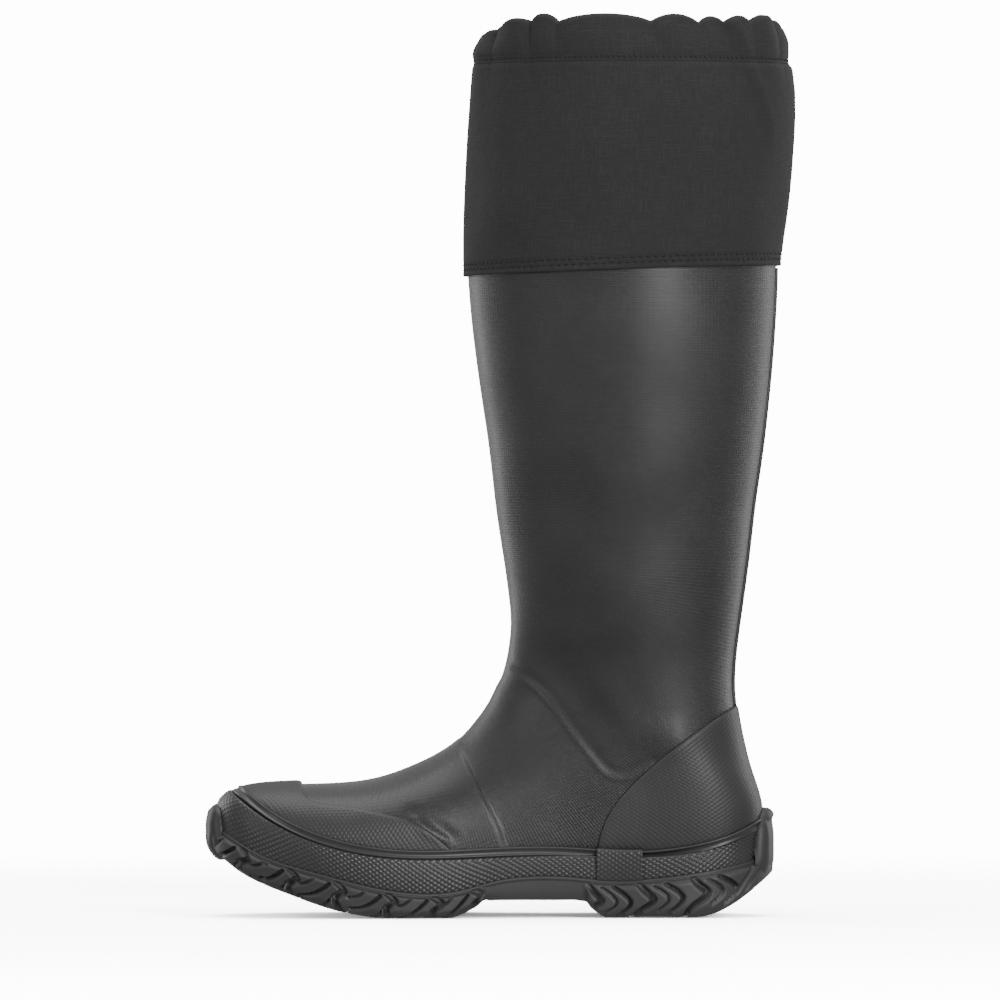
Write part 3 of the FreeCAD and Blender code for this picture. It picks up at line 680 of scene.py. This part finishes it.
toe_x = np.arange(*to_frame([(-131.5, 0), (-14, 0)])[:, 0], 0.00055)
turn = np.radians(np.linspace(-116, 116, 117))
fan = np.stack([0 * turn, np.sin(turn), np.cos(turn)], 1)
cap = knurled("toe_cap_knurled", [(x, AXIS_Y, 0.04) for x in toe_x], fan, 0.00042, cap_edge, 1, False,
              0.00036)
settle(cap, "foot", "toe_cap")
heel_z = np.arange(0.03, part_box("heel_counter")[1].z + 0.003, 0.0005)
turn = np.radians(np.linspace(-128, 128, 161))
fan = np.stack([np.cos(turn), np.sin(turn), 0 * turn], 1)
counter = knurled("heel_counter_knurled", [(0.066, AXIS_Y, z) for z in heel_z], fan, 0.0006, counter_edge,
                  -1, True, 0.00034)
settle(counter, "foot", "heel_counter")


# ---- foxing round the sole joint
def contour(line, count):
    """Closed curve where the skin meets the height of a side-view line, from the toe by the medial side."""
    gap = skin[..., 2] - line(skin[..., 0])
    half = FINE_ROUND // 2
    sides = []
    for columns in (range(FINE_ROUND - 1, half - 1, -1), range(1, half + 1)):
        found = []
        for row, g in zip(skin, gap):
            crossed = [(a, b) for a, b in zip(columns, columns[1:]) if g[a] > 0 >= g[b]]
            found += [row[a] + (row[b] - row[a]) * g[a] / (g[a] - g[b]) for a, b in crossed[:1]]
        sides.append(found)
    medial, lateral = sides
    return even(medial + lateral[::-1], count, closed=True)


def matched(curve):
    """Closed curve read at places that correspond on every such curve: toe, sides, heel."""
    first = int(np.argmin(curve[:, 0] + 0.3 * np.abs(curve[:, 1] - AXIS_Y)))
    loop = np.roll(curve, -first, 0)
    heel = int(np.argmax(loop[:, 0] - 0.3 * np.abs(loop[:, 1] - AXIS_Y)))
    medial, lateral = loop[:heel + 1], ringed(loop)[heel:][::-1]
    if medial[len(medial) // 2, 1] > lateral[len(lateral) // 2, 1]:
        medial, lateral = lateral, medial
    toe_x, heel_x = to_frame([(-108, 0), (104, 0)])[:, 0]
    parts = []
    for half in (medial, lateral):
        dense = even(half, 1400)
        a = int(np.argmax(dense[:, 0] > toe_x))
        b = len(dense) - 1 - int(np.argmax(dense[::-1, 0] < heel_x))
        parts.append(np.vstack([even(dense[lo:hi + 1], n + 1)[:-1] for lo, hi, n in (
            (0, a, 70), (a, b, 190), (b, 1399, 56))] + [dense[-1:]]))
    return np.vstack([parts[0], parts[1][-2:0:-1]])


plan = to_frame(spline(OUTLINE, 1400, closed=True))


def leaving(ring):
    """Directions that leave a level ring at right angles."""
    return unit((np.roll(ring, -1, 0) - np.roll(ring, 1, 0))[:, ::-1] * (1, -1))


foxing_low = matched(np.column_stack([plan, sole_top(plan[:, 0]) - 0.0012]))
trim_foot, trim_head = matched(contour(trim_low, 900)), matched(contour(trim_high, 900))
under_trim = trim_foot + (trim_head - trim_foot) * 0.1


def band(name, top, low_out, high_out, rows, knurl, node):
    """Band with nubs between the sole's lip and a line on the skin; the joint patch is a piece of it."""
    share = np.linspace(0, 1, 9)[:, None, None]
    chord = foxing_low[None] * (1 - share) + top[None] * share
    upright = chord.copy()
    upright[..., :2] = foxing_low[:, :2]
    widest = np.interp(chord[..., 0], *to_frame(WIDEST).T)
    lean = smoothstep(chord[..., 2], widest - 0.003, widest + 0.007)[..., None]
    on_skin = np.array([[skin_tree.find_nearest(Vector(p))[0] for p in row] for row in chord])
    bed = smooth_both(upright * (1 - lean) + on_skin * lean, 0.8, 1.2, wrap=True)
    bed = resample(bed, np.linspace(0, 8, rows), 0, False)
    bed = resample(bed, np.arange(bed.shape[1] * 3) / 3, 1, True)
    out = normals(bed, True)
    up = run_length(bed)
    along = run_length(ringed(bed[rows // 2]))
    edge = np.minimum(up, up[-1] - up)
    bulge = 4 * (up / up[-1]) * (1 - up / up[-1]) * 0.0007
    lift = low_out + (high_out - low_out) * up / up[-1] + bulge
    nub = diamonds(along[None, :-1], up, 0.0036, 0.0024)
    height = lift - 0.0009 * (1 - np.clip(edge / 0.001, 0, 1)) ** 2
    height = height + nub * knurl * smoothstep(edge, 0.0006, 0.0018)
    face = bed + out * height[..., None]
    back = bed - out * 0.0003
    u, v = along[None], np.linspace(0, up[-1].mean(), rows)[:, None]
    if node == "foxing_band":
        grids = [(face, u, v, True, False), (back[::4], u, v[::4], True, True),
                 (np.stack([face[-1], back[-1]]), u, v[:2], True, False),
                 (np.stack([back[0], face[0]]), u, v[:2], True, False)]
    else:
        medial = bed[rows // 2, :bed.shape[1] // 2, 0]
        part = slice(*(int(np.argmax(medial > end.x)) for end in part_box(node)[:2]))
        face, back, u = face[:, part], back[:, part], u[:, part]
        sides = np.stack([np.concatenate([g[0], g[:, -1], g[-1][::-1], g[::-1, 0]]) for g in (face, back)])
        grids = [(face, u, v, False, False), (back, u, v, False, True),
                 (sides, run_length(sides[0])[None], np.array([[0], [0.003]]), False, False)]
    settle(from_grids(name, grids, KNURLED), "foot", node)


band("foxing_knurled", under_trim, 0.0027, 0.0024, 37, 0.0005, "foxing_band")
band("joint_patch_knurled", trim_head, 0.0038, 0.0048, 33, 0.00045, "foxing_joint_patch")


def trim_strip():
    """Closed strip lofted between two lines on the skin, with a profile of (share across, inset, height)."""
    low, high = (resample(smooth_rows(line, 1.2, 0, True), np.arange(len(line) * 3) / 3, 0, True)
                 for line in (trim_foot, trim_head))
    middle = (low + high) / 2
    across = high - low
    out = facing_out(unit(np.cross(np.roll(middle, -1, 0) - np.roll(middle, 1, 0), across)), middle)
    edge = [(0, -0.6), (0, 2.3), (0.15, 2.95), (0.5, 3.25), (0.95, 3.15), (1.3, 2.75)]
    profile = [(0, *p) for p in edge] + [(0.5, 0, 2.7)] + [(1, -p, h) for p, h in edge[::-1]] + [(0, 0, -0.6)]
    grid = np.array([low + across * share + unit(across) * inset * MM + out * height * MM
                     for share, inset, height in profile])
    u = run_length(ringed(middle))[None]
    return from_grids("foxing_trim_strip", [(grid, u, run_length(grid[:, 0])[:, None], True, False)], TRIM)


settle(trim_strip(), "foot", "foxing_trim")


# ---- outsole
# Grooves in the side of the sole: (x, distance below the lip) points, width, depth.
GROOVES = [([(122, 14), (130, 3)], 1.8, 0.9), ([(126, 15), (134, 4)], 1.2, 0.7)]
for gaps, shapes in (
        ((-124, -101, -77.5, -52, -29, -9), (
            ([(1, 1.5), (4.5, 5.5), (0, 9.5), (2, 14), (7, 21), (8, 34)], 3.2, 1),
            ([(-18, 13), (-13.5, 11.8), (-7.5, 8.2), (-2.5, 3)], 1.6, 0.8),
            ([(-19, 7.5), (-14.5, 6), (-10.5, 2.5)], 1.1, 0.5),
            ([(-12, 18.5), (-7, 16), (-2, 11)], 1.3, 0.65))),
        ((50, 76, 103), (
            ([(-3, 0.5), (2, 7), (5, 10.5), (0, 14.5), (-6, 20), (-6, 34)], 3, 1),
            ([(11, 3), (19.5, 12), (13, 17.5)], 1.9, 0.9),
            ([(5, 3.5), (12.5, 11.5), (7, 16)], 1.2, 0.6)))):
    GROOVES += [([(gap_x + dx, low) for dx, low in points], width, depth)
                for gap_x in gaps for points, width, depth in shapes]
TIPS, GAPS = 0, 1
LIP = 0.0015            # where the lugs begin, as a distance below the lip
SPINE_END = 0.098       # the rows under the sole run in to a line down its middle, which ends here
SIDE_ROWS = 24          # rows up the side; the others are under the sole


def sole_levels(x):
    """Levels of the lugs' tips and of the gaps between them, which meet in the waist."""
    tip = np.maximum(tread(x), 0)
    lugs = 1 - smoothstep(x, -0.013, -0.004) * (1 - smoothstep(x, 0.04, 0.047))
    gap = np.minimum(tip + 0.0009 + 0.0036 * lugs, sole_top(x) - 0.0045)
    return np.minimum(tip, gap), gap


def outsole():
    """Tray, side lugs and chevrons as one skin, from inside the tray over the lip and under the tread."""
    ring = even(plan, 1040, closed=True)
    out = leaving(ring)
    reach_x = ring[:, 0] + out[:, 0] * 0.0045
    top = sole_top(reach_x)
    levels = tip, base_z = sole_levels(reach_x)
    wall = top - 0.002 - base_z
    spine = np.stack([np.clip(ring[:, 0], -SPINE_END, SPINE_END), np.full(len(ring), AXIS_Y)], 1)
    span = np.linalg.norm(spine - ring, axis=1)

    def point(offset, z):
        return np.column_stack([ring + out * offset, z])

    def under(share, level, rise):
        """Row on the way from the edge to the spine, at the level of the lugs' tips or of the gaps."""
        edge = ring + out * 0.0026
        flat = edge + (spine - edge) * share
        inner = smoothstep(share, 0, 0.15)
        z = levels[level] * (1 - inner) + sole_levels(flat[:, 0])[level] * inner
        return np.column_stack([flat, z + rise])

    fixed = [under(1, GAPS, 0.004), under(0.5, GAPS, 0.004), point(-0.0058, base_z + 0.004)]
    fixed += [point(offset, top - drop) for offset, drop in (
        (-0.0058, 0.0012), (-0.003, 0.0003), (0.0028, 0), (0.0035, 0.0002), (0.0039, 0.0006),
        (0.004, 0.0012), (0.0036, 0.0018))]
    base, lug, below_lip = [], [], []
    for t in np.linspace(0, 1, SIDE_ROWS):
        base.append(point(0.0034 - 0.0008 * t ** 3, top - 0.002 - wall * t * 0.97))
        bulge = 0.0062 - 0.0014 * max(0, (t - 0.7) / 0.3) ** 2 - 0.002 * (1 - min(t / 0.16, 1)) ** 2
        drop = (wall + (base_z - tip) * 0.75) * t
        lug.append(point(bulge, top - 0.002 - drop))
        below_lip.append(LIP + drop)
    for t in np.concatenate([np.linspace(0, 0.4, 20), np.linspace(0.43, 1, 22)]):
        base.append(under(t, GAPS, 0))
        lug.append(under(t, TIPS, 0.001 * (1 - min(t / 0.04, 1)) ** 2))
        below_lip.append(LIP + wall + (base_z - tip) + span * t)
    base, lug, below_lip = np.array(base), np.array(lug), np.array(below_lip)
    x, across = lug[..., 0] / MM, np.abs(lug[..., 1] - AXIS_Y)
    along = np.where(x - MIDDLE < -112, -112 - toe_run(ring, -0.1168), x - MIDDLE)
    side = np.ones(x.shape)
    for points, width, depth in GROOVES:
        near = np.abs(line_distance(along * MM, below_lip, spline(points, 24) * MM))
        side = np.minimum(side, 1 - depth * (1 - smoothstep(near, width * 0.3 * MM, width * 0.62 * MM)))
    chevron = np.cos(2 * pi * (x - across / MM * 0.75) / 14.6)
    centre = smoothstep(chevron, -0.35, -0.05) * smoothstep(0.0135 - across, 0, 0.0012)
    ring_zone = (np.arange(len(lug))[:, None] < SIDE_ROWS) | (below_lip < LIP + wall + 0.0195)
    mask = np.where(ring_zone, side, centre)
    mask = mask * (1 - smoothstep(x, -12, -6) * (1 - smoothstep(x, 41, 45)))
    grid = np.concatenate([fixed, base * (1 - mask[..., None]) + lug * mask[..., None]])
    u, v = run_length(ringed(ring))[None], run_length(grid[:, 300])[:, None]
    return from_grids("outsole_tread", [(grid, u, v, True, True)], SOLE, weld=4e-6)


def toe_run(ring, start_x):
    """Arc length in millimetres along the outline from start_x towards the toe, on each side; 0 elsewhere."""
    result = np.zeros(len(ring))
    tip = int(np.argmin(ring[:, 0]))
    for step in (1, -1):
        order = (tip + step * np.arange(len(ring) // 2)) % len(ring)
        beyond = int(np.argmax(ring[order, 0] >= start_x))
        run = run_length(ring[order[:beyond + 1]]) / MM
        result[order[:beyond]] = run[-1] - run[:-1]
    return result


settle(outsole(), "foot", "outsole")


def wrap_tab(name, at_heel, z_low, z_turn, z_high, y_low, y_high, lift, frame_depth, rib_depth):
    """Rubber tab moulded up over the foxing at the toe or the heel; it curls under below z_turn."""
    rows, cols = 54, 54
    zs = np.linspace(z_low, z_high, rows) * MM
    ys = np.linspace(y_low, y_high, cols) * MM
    sign = 1 if at_heel else -1
    base = np.zeros((rows, cols, 3))
    for j, y in enumerate(ys):
        near = np.argmin(np.abs(plan[:, 1] - y) + (plan[:, 0] * sign < 0.08) * 10)
        for i, z in enumerate(zs):
            hit = skin_tree.ray_cast(Vector((sign * 0.3, y, z)), Vector((-sign, 0, 0)), 0.4)[0]
            x = plan[near, 0] if hit is None or z < 0.05 else hit.x
            below = max(0, z_turn * MM - z)
            base[i, j] = x - sign * 1.2 * below ** 2 / (below + 0.004), y, z
    base = smooth_both(base, 3, 2)
    out = normals(base, False)
    p = np.linspace(-1, 1, cols)[None]
    q = np.linspace(-1, 1, rows)[:, None]
    inside = 1 - (np.abs(p * (1 + 0.12 * q)) ** 3 + np.abs(q) ** 4)
    window = 0.66 - np.maximum(np.abs(p), np.abs(q + 0.1) * 0.8)
    frame_part = smoothstep(window, -0.05, 0.05) * frame_depth * MM
    ribs = np.abs(np.sin(p * 9 + q * 1.5)) ** 8 * smoothstep(-q, -0.1, 0.5) * rib_depth * MM
    crown = lift * MM * (1 - 0.16 * smoothstep(q, 0.2, 1) - 0.1 * smoothstep(-q, 0.3, 1))
    height = rounded(inside * 0.005, 0.004, 1) * (crown - 0.0012) + 0.0012 - frame_part - ribs
    height = np.where(inside > 0, height, 0)
    return overlay(name, base, out, height, inside * np.ones((rows, cols)), base[..., 1], base[..., 2],
                   SOLE, back=0)


for tab in (wrap_tab("outsole_toe_tab", False, 31, 38, 55, -25, 14, 8.4, 0, 0.8),
            wrap_tab("outsole_heel_tab", True, 15, 27, 54, -19, 21, 8.4, 1.6, 0)):
    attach(tab, "foot")


# ---- lining, tape and footbed
lining_tree = tree_of("foot_lining", "ankle_lining", "leg_lining", "inner_seam_tape", "insole_board")
spots, rays, run = fan_rays(lining_tree, 120, 120, start=0)
spots, rays, run = spots[8:, None], rays[8:], smooth_both(run, 1.4, 1.2, wrap=True)[8:, :, None]
inside_face, outside_face = spots + rays * run, spots + rays * (run + 0.0018)
lining = boot("boot_lining", inside_face, outside_face, (-0.002, 0, 0), [], (0, 0.002),
              round_u(inside_face[60], 0.003), run_length(inside_face[:, 30]), LINING, flip=True)
bends(lining, "foot_lining", "ankle_lining", "leg_lining")
HEM_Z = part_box("gaiter_sleeve")[0].z
HEM_ROWS = (0.0029, 0.0054)
CASING_Z, TOP_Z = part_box("collar_casing")[0].z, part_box("collar_casing")[1].z
LEVELS = np.concatenate([np.linspace(HEM_Z + 0.007, CASING_Z - 0.002, 9),
                         np.linspace(CASING_Z + 0.001, TOP_Z - 0.001, 4)])
LEG_X = 0.062           # a line up the middle of the leg
# Middle x, half length, middle y and half width of the gaiter at each level.
front, back, left, right = reaches(tree_of("gaiter_sleeve", "collar_casing"), [(LEG_X, 0, z) for z in LEVELS],
                                   np.array([(-1, 0, 0), (1, 0, 0), (0, -1, 0), (0, 1, 0)])).T
ELLIPSES = LEG_X + (back - front) / 2, (front + back) / 2, (right - left) / 2, (left + right) / 2
ELLIPSES = smooth_rows(np.stack([filled(row) for row in ELLIPSES], 1), 0.7, 0, False)

# Where the gathers pinch in round the top: degrees from the shin, the lateral side first.
PINCHES = [-8, 9, 21, 38, 55, 64, 82, 96, 112, 121, 139, 150, 163, 176, 189,
           202.7, 219, 232.3, 242.3, 262, 299.4, 311, 333.1, 352]


def gathers(turn):
    """Uneven gathers round the top: the place of each angle, counted in pleats, and its pleat's size."""
    degrees = np.degrees(turn) % 360
    degrees = np.where(degrees > PINCHES[-1], degrees - 360, degrees)
    phase = np.interp(degrees, PINCHES, np.arange(len(PINCHES)))
    width = np.diff(PINCHES)[np.clip(phase.astype(int), 0, len(PINCHES) - 2)]
    return phase, np.clip(width / 17, 0.5, 1.25)


def hem_slope(turn):
    """Height of the gaiter's lower edge round the leg."""
    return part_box("hem_stitch_rows")[0].z - 0.0025 + 0.00275 * (1 - np.cos(turn))


def cloth_point(turn, z, outside):
    """Point of the gathered cloth at an angle from the shin and a level; both arrays of one shape."""
    middle_x, half_x, middle_y, half_y = (np.interp(z, LEVELS, column) for column in ELLIPSES.T)
    phase, size = gathers(turn)
    ahead, lateral = np.cos(turn), np.sin(turn)
    up = (z - HEM_Z) / (CASING_Z - HEM_Z)
    grow = outside + smoothstep(up, 0.06, 0.35) * hills(turn, up, [
        (5, 0.35, 0.2, 0.00055), (8, -0.5, 1.7, 0.0004), (3, 0.8, 3, 0.0006), (13, 0.4, 2, 0.00018)])
    pucker = 1.6 * np.abs(np.sin(pi * phase)) ** 0.8 - 0.9
    grow += pucker * size * (smoothstep(up, 0.78, 1) * 0.0004 + smoothstep(up, 0.97, 1.15) * 0.001)
    grow += smoothstep(up, 0.97, 1.12) * 0.0007 - 0.0003 * bell(z - CASING_Z - 0.002, 0.0016)
    for height in HEM_ROWS:
        grow -= 0.0004 * bell(z - hem_slope(turn) - height, 0.0008)
    x_side = middle_x - half_x * ahead
    near = line_distance(x_side, z, to_frame(BACK_FOLD))
    fold = 0.0013 * smoothstep(-near, -0.004, 0.002) + 0.0007 * bell(near, 0.0025)
    fold -= 0.0009 * bell(near - 0.006, 0.004)
    grow += fold * smoothstep(z, 0.375, 0.418) * smoothstep(-lateral, -0.5, 0)
    broad = line_distance(x_side, z, to_frame(BROAD_FOLD))
    grow += np.where(lateral < 0, bell(broad, 0.012) * 0.0007, 0)
    grow -= 0.0042 * smoothstep(ahead, 0.72, 1) * smoothstep(z, CASING_Z + 0.004, CASING_Z + 0.017)
    grow -= 0.0025 * smoothstep(-ahead, 0.8, 1) * smoothstep(z, CASING_Z + 0.01, TOP_Z)
    return np.stack([middle_x - (half_x + grow) * ahead, middle_y + (half_y + grow) * lateral, z], -1)


COLS = 480
turn = circle(COLS)
girth = 2 * pi * (ELLIPSES[4, 1] + ELLIPSES[4, 3]) / 2
cloth_u = (np.arange(COLS + 1) / COLS * girth)[None]


def loft(name, profile, start_v, material):
    """Closed piece round the gaiter's top, through (level, distance outside the cloth) points."""
    grid = np.array([cloth_point(turn, np.broadcast_to(z, turn.shape), out)
                     for z, out in [*profile, profile[0]]])
    v = run_length(grid[:, 10])[:, None] + start_v
    return from_grids(name, [(grid, cloth_u, v, True, True)], material)


def sleeve():
    share = np.concatenate([np.linspace(0, 0.12, 16)[:-1], np.linspace(0.12, 1, 69)])[:, None]
    low, high = hem_slope(turn), CASING_Z + 0.0008
    z = low + (high - low) * share
    turns = np.broadcast_to(turn, z.shape)
    outer = cloth_point(turns, z, -0.0002 * smoothstep(z, CASING_Z - 0.0008, CASING_Z))
    inner = cloth_point(turns, z, -0.001)
    v = share * (high - HEM_Z)
    edge = (inner[0] + outer[0]) / 2 - [0, 0, 0.0003]
    return from_grids("gaiter_sleeve_cloth", [
        (outer, cloth_u, v, True, True), (inner, cloth_u, v, True, False),
        (np.stack([inner[0], edge, outer[0]]), cloth_u, v[:3], True, True),
        (np.stack([outer[-1], inner[-1]]), cloth_u, v[:2], True, True)], GAITER)


gaiter = sleeve()
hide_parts("gaiter_sleeve")


def collar():
    """Folded casing: up the outside, over the scalloped top and down the inside."""
    phase, size = gathers(turn)
    crown = TOP_Z - 0.0005 - 0.0038 * (1 - np.abs(np.sin(pi * phase)) ** 0.75) * (0.5 + 0.5 * size)
    crown = crown + hills(turn, 0, [(7, 0, 1.2, 0.0005), (4, 0, 0.3, 0.0005)])
    ahead = np.cos(turn)
    crown -= 0.003 * smoothstep(ahead, 0.6, 0.95) + 0.0052 * smoothstep(ahead, 0.88, 1)
    crown -= 0.004 * smoothstep(-ahead, 0.9, 1)
    crown = np.minimum(crown, TOP_Z - 0.0002)
    low, bend, radius = CASING_Z - 0.0002, crown - 0.0027, 0.0027
    profile = [(low + (bend - low) * t, 0.0007 * math.sin(pi * t)) for t in np.linspace(0, 1, 22)]
    for t in np.radians(np.linspace(12, 168, 9)):
        profile.append((bend + radius * math.sin(t), radius * math.cos(t) - radius))
    for t in np.linspace(1, 0, 16):
        profile.append((low + (bend - low) * t, -2 * radius - 0.0004 * math.sin(pi * t)))
    return loft("collar_casing_cloth", profile, 0.108, GAITER)


settle(collar(), "collar", "collar_casing")
# The elastic inside the casing follows its gathers.
elastic = loft("elastic_band_gathered", [(CASING_Z + up, out) for up, out in (
    (0.0045, -0.0018), (0.0085, -0.0017), (0.0125, -0.0018), (0.0125, -0.0032), (0.0085, -0.0033),
    (0.0045, -0.0032))], 0, ELASTIC)
settle(elastic, "collar", "elastic_band")


def stitches(name, runs, radius):
    """Short threads, each from one point to another, that sink into the cloth at both ends."""
    verts, faces, uv = [], [], []
    steps = (0, -0.5, 0.6), (0.2, 0.35, 1), (0.5, 0.7, 1), (0.8, 0.35, 1), (1, -0.5, 0.6)
    for a, b, out in runs:
        side = unit(np.cross(b - a, out))
        first = len(verts)
        for t, rise, fat in steps:
            middle = a + (b - a) * t + out * rise * radius
            verts += [middle + (side * math.cos(k) + out * math.sin(k)) * radius * fat for k in circle(6)]
        faces += [*quads_of(5, 6, True, first)]
        faces += [range(first + 5, first - 1, -1), range(first + 24, first + 30)]
        uv += [(k / 6 + across, i + along) for i in range(4) for k in range(6)
               for across, along in ((0, 0), (0.16, 0), (0.16, 1), (0, 1))] + [(0, 0)] * 12
    return finish_mesh(name, verts, faces, uv, THREAD)


def cloth_runs(places):
    """Both ends of each stitch on the cloth, from its angles and its levels, with the way out."""
    made = []
    for turns, levels in places:
        away = np.array([-math.cos(turns[0]), math.sin(turns[0]), 0])
        made.append((*cloth_point(np.array(turns), np.array(levels), 0.0001), away))
    return made


def hem_places(count=128):
    for height, shift in zip(HEM_ROWS, (0, 0.4)):
        for k in range(count):
            turns = 2 * pi * (k + shift + np.array([0.14, 0.78])) / count
            yield turns, hem_slope(turns) + height


hem_thread = stitches("hem_stitches", cloth_runs(hem_places()), 0.00036)
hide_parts("hem_stitch_rows")
casing_thread = stitches("casing_stitches", cloth_runs(
    (2 * pi * np.array([k + 0.1, k + 0.8]) / 176, (CASING_Z + 0.0012, CASING_Z + 0.0026))
    for k in range(176)), 0.00028)
settle(casing_thread, "collar", "casing_stitch_row")
for soft in (gaiter, hem_thread):
    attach(soft, "leg")
    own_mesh(soft)


def inner_tape():
    """Binding over the seam between the gaiter and the leg, with turned edges."""
    low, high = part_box("inner_seam_tape")
    zs = np.linspace(low.z + 0.0006, high.z - 0.0006, 15)
    cols = 160
    angles = circle(cols)
    fan = np.stack([-np.cos(angles), np.sin(angles), 0 * angles], 1)
    grid = met(tree_of("inner_seam_tape"), [(LEG_X, 0, z) for z in zs], fan, 0)
    grid = smooth_rows(grid, 1.5, 1, True)
    share = np.linspace(-1, 1, len(zs))[:, None]
    swell = 0.0005 * (1 - share ** 6) + 0.0004 * bell(np.abs(share) - 0.8, 0.1)
    swell = swell + hills(angles, share, [(23, 0.5, 0.2, 0.00015), (31, 0.3, 2, 0.0001)])
    inner, outer = grid - fan * swell[..., None], grid + fan * 0.0012
    u = (np.arange(cols + 1) / cols * 0.44)[None]
    v = (zs - zs[0])[:, None]
    return from_grids("inner_seam_binding", [
        (inner, u, v, True, False), (outer, u, v, True, True),
        (np.stack([outer[0], inner[0]]), u, v[:2], True, False),
        (np.stack([inner[-1], outer[-1]]), u, v[:2], True, False)], BINDING)


settle(inner_tape(), "leg", "inner_seam_tape")


def back_strip():
    """Strip over the seam up the back of the leg, from the heel counter to under the gaiter."""
    zs = np.linspace(0.1045, HEM_Z + 0.004, 130)
    profile = [(-6, -0.4), (-6, 0.45), (-5.7, 0.95), (-5, 1.25), (-4.4, 1.15), (-3.8, 0.98), (0, 1.1),
               (3.8, 0.98), (4.4, 1.15), (5, 1.25), (5.7, 0.95), (6, 0.45), (6, -0.4)]
    back = reaches(skin_tree, [(0, y * MM, z) for z in zs for y, h in profile], np.array([(1, 0, 0)]))
    ys, rises = np.array(profile).T * MM
    grid = np.stack(np.broadcast_arrays(back.reshape(len(zs), -1) + rises, ys, zs[:, None]), -1)
    grid = smooth_rows(grid, 2, 0, False)
    closed = np.concatenate([grid, grid[:, :1]], 1)
    ends = [np.stack([g[:7], g[:5:-1]]) for g in (grid[0], grid[-1])]
    u = run_length(closed[5])[None]
    v = (zs - zs[0])[:, None]
    return from_grids("back_seam_rubber", [(closed, u, v, False, False)] + [
        (end, u[:, :7], v[:2], False, False) for end in ends], TRIM)


bends(back_strip(), "back_seam_strip")


def footbed():
    """Cushioned footbed: the CAD foam and cover as one rounded pad."""
    bm = bmesh.new()
    for n in ("footbed_foam", "footbed_cover"):
        bm.from_mesh(nodes[n].data)
    mesh = bpy.data.meshes.new("footbed_pad")
    bm.to_mesh(mesh)
    bm.free()
    pad = placed("footbed_pad", mesh)
    for kind, settings in (("REMESH", {"mode": "VOXEL", "voxel_size": 0.0013}),
                           ("SMOOTH", {"factor": 0.5, "iterations": 6})):
        modifier = pad.modifiers.new(kind, kind)
        for key, value in settings.items():
            setattr(modifier, key, value)
    shape = bpy.data.meshes.new_from_object(pad.evaluated_get(bpy.context.evaluated_depsgraph_get()))
    pad.modifiers.clear()
    pad.data = shape
    co, normal = np.zeros((2, len(shape.vertices) * 3))
    shape.vertices.foreach_get("co", co)
    shape.vertices.foreach_get("normal", normal)
    co, normal = co.reshape(-1, 3), normal.reshape(-1, 3)
    quilt = np.cos(co[:, 0] / 0.0035) * np.cos((co[:, 1] + co[:, 0] * 0.5) / 0.0035)
    co += normal * (smoothstep(normal[:, 2], 0.7, 0.95) * quilt * 0.0002)[:, None]
    shape.vertices.foreach_set("co", co.ravel())
    shape.polygons.foreach_set("use_smooth", [True] * len(shape.polygons))
    shape.materials.clear()
    shape.materials.append(FOOTBED)
    return pad


pad = footbed()
settle(pad, "foot", "footbed_foam", "footbed_cover")


# ---- floor, light and camera
def floor():
    """Pale floor that fades into the background round the boot."""
    s = Shader("floor", Roughness=0.6, Specular_IOR_Level=0.2)
    far = s.add("TexGradient", {"Vector": s.mapped((0.9, 0.9, 0.9), "Object")}, 1, gradient_type="SPHERICAL")
    cloud = s.noise(3)
    s.set(Base_Color=s.tint(cloud, (7.8, 7.8, 7.8), (8, 8, 8)), Alpha=s.span(far, 0.02, 0.55, 0, 1))
    mesh = bpy.data.meshes.new("floor")
    bm = bmesh.new()
    bmesh.ops.create_circle(bm, cap_ends=True, segments=96, radius=1.3)
    bm.to_mesh(mesh)
    bm.free()
    mesh.materials.append(s.material)
    obj = placed("floor", mesh)
    obj.location.z = -0.0003
    obj.visible_diffuse = obj.visible_glossy = False


def world():
    made = bpy.data.worlds.new("studio")
    bpy.context.scene.world = made
    made.use_nodes = True
    tree = made.node_tree
    lighting, seen = tree.nodes["Background"], tree.nodes.new("ShaderNodeBackground")
    for node, strength in ((lighting, 0.6), (seen, 14)):
        node.inputs["Color"].default_value = (1, 1, 1, 1)
        node.inputs["Strength"].default_value = strength
    ray = tree.nodes.new("ShaderNodeLightPath")
    mix = tree.nodes.new("ShaderNodeMixShader")
    for k, socket in enumerate((ray.outputs["Is Camera Ray"], lighting.outputs[0], seen.outputs[0])):
        tree.links.new(socket, mix.inputs[k])
    tree.links.new(mix.outputs[0], tree.nodes["World Output"].inputs[0])


floor()
world()
middle = (cad_box[0] + cad_box[1]) / 2
for name, place, aim, size, power in (
        ("key", (0.9, -1.7, 0.7), (0.03, 0, 0.28), (0.4, 0.9), 25),
        ("fill", (-1.5, -1.5, 0.9), (0, 0, 0.12), (0.8, 1), 6.5),
        ("rim_left", (-1.3, 1.2, 0.5), (0.03, 0, 0.2), (0.5, 1.4), 6),
        ("rim_right", (1.3, 1.2, 0.5), (0.03, 0, 0.2), (0.5, 1.4), 5),
        ("top", (0, 0.1, 1.9), (0.03, 0, 0.2), (1.6, 1.6), 24)):
    light = bpy.data.lights.new(name, "AREA")
    light.shape = "RECTANGLE"
    light.size, light.size_y = size
    light.energy = power
    lamp = placed(name, light)
    lamp.location = place
    lamp.rotation_euler = (Vector(aim) - Vector(place)).to_track_quat("-Z", "Y").to_euler()

camera = placed("camera", bpy.data.cameras.new("camera"))
DISTANCE = 6
FIELD = 0.5
camera.data.lens = camera.data.sensor_width * DISTANCE / FIELD
camera.location = (middle.x - 0.0003, -DISTANCE, 0.2075)
camera.rotation_euler = (pi / 2, 0, 0)
camera.data.clip_end = 100
bpy.context.scene.camera = camera
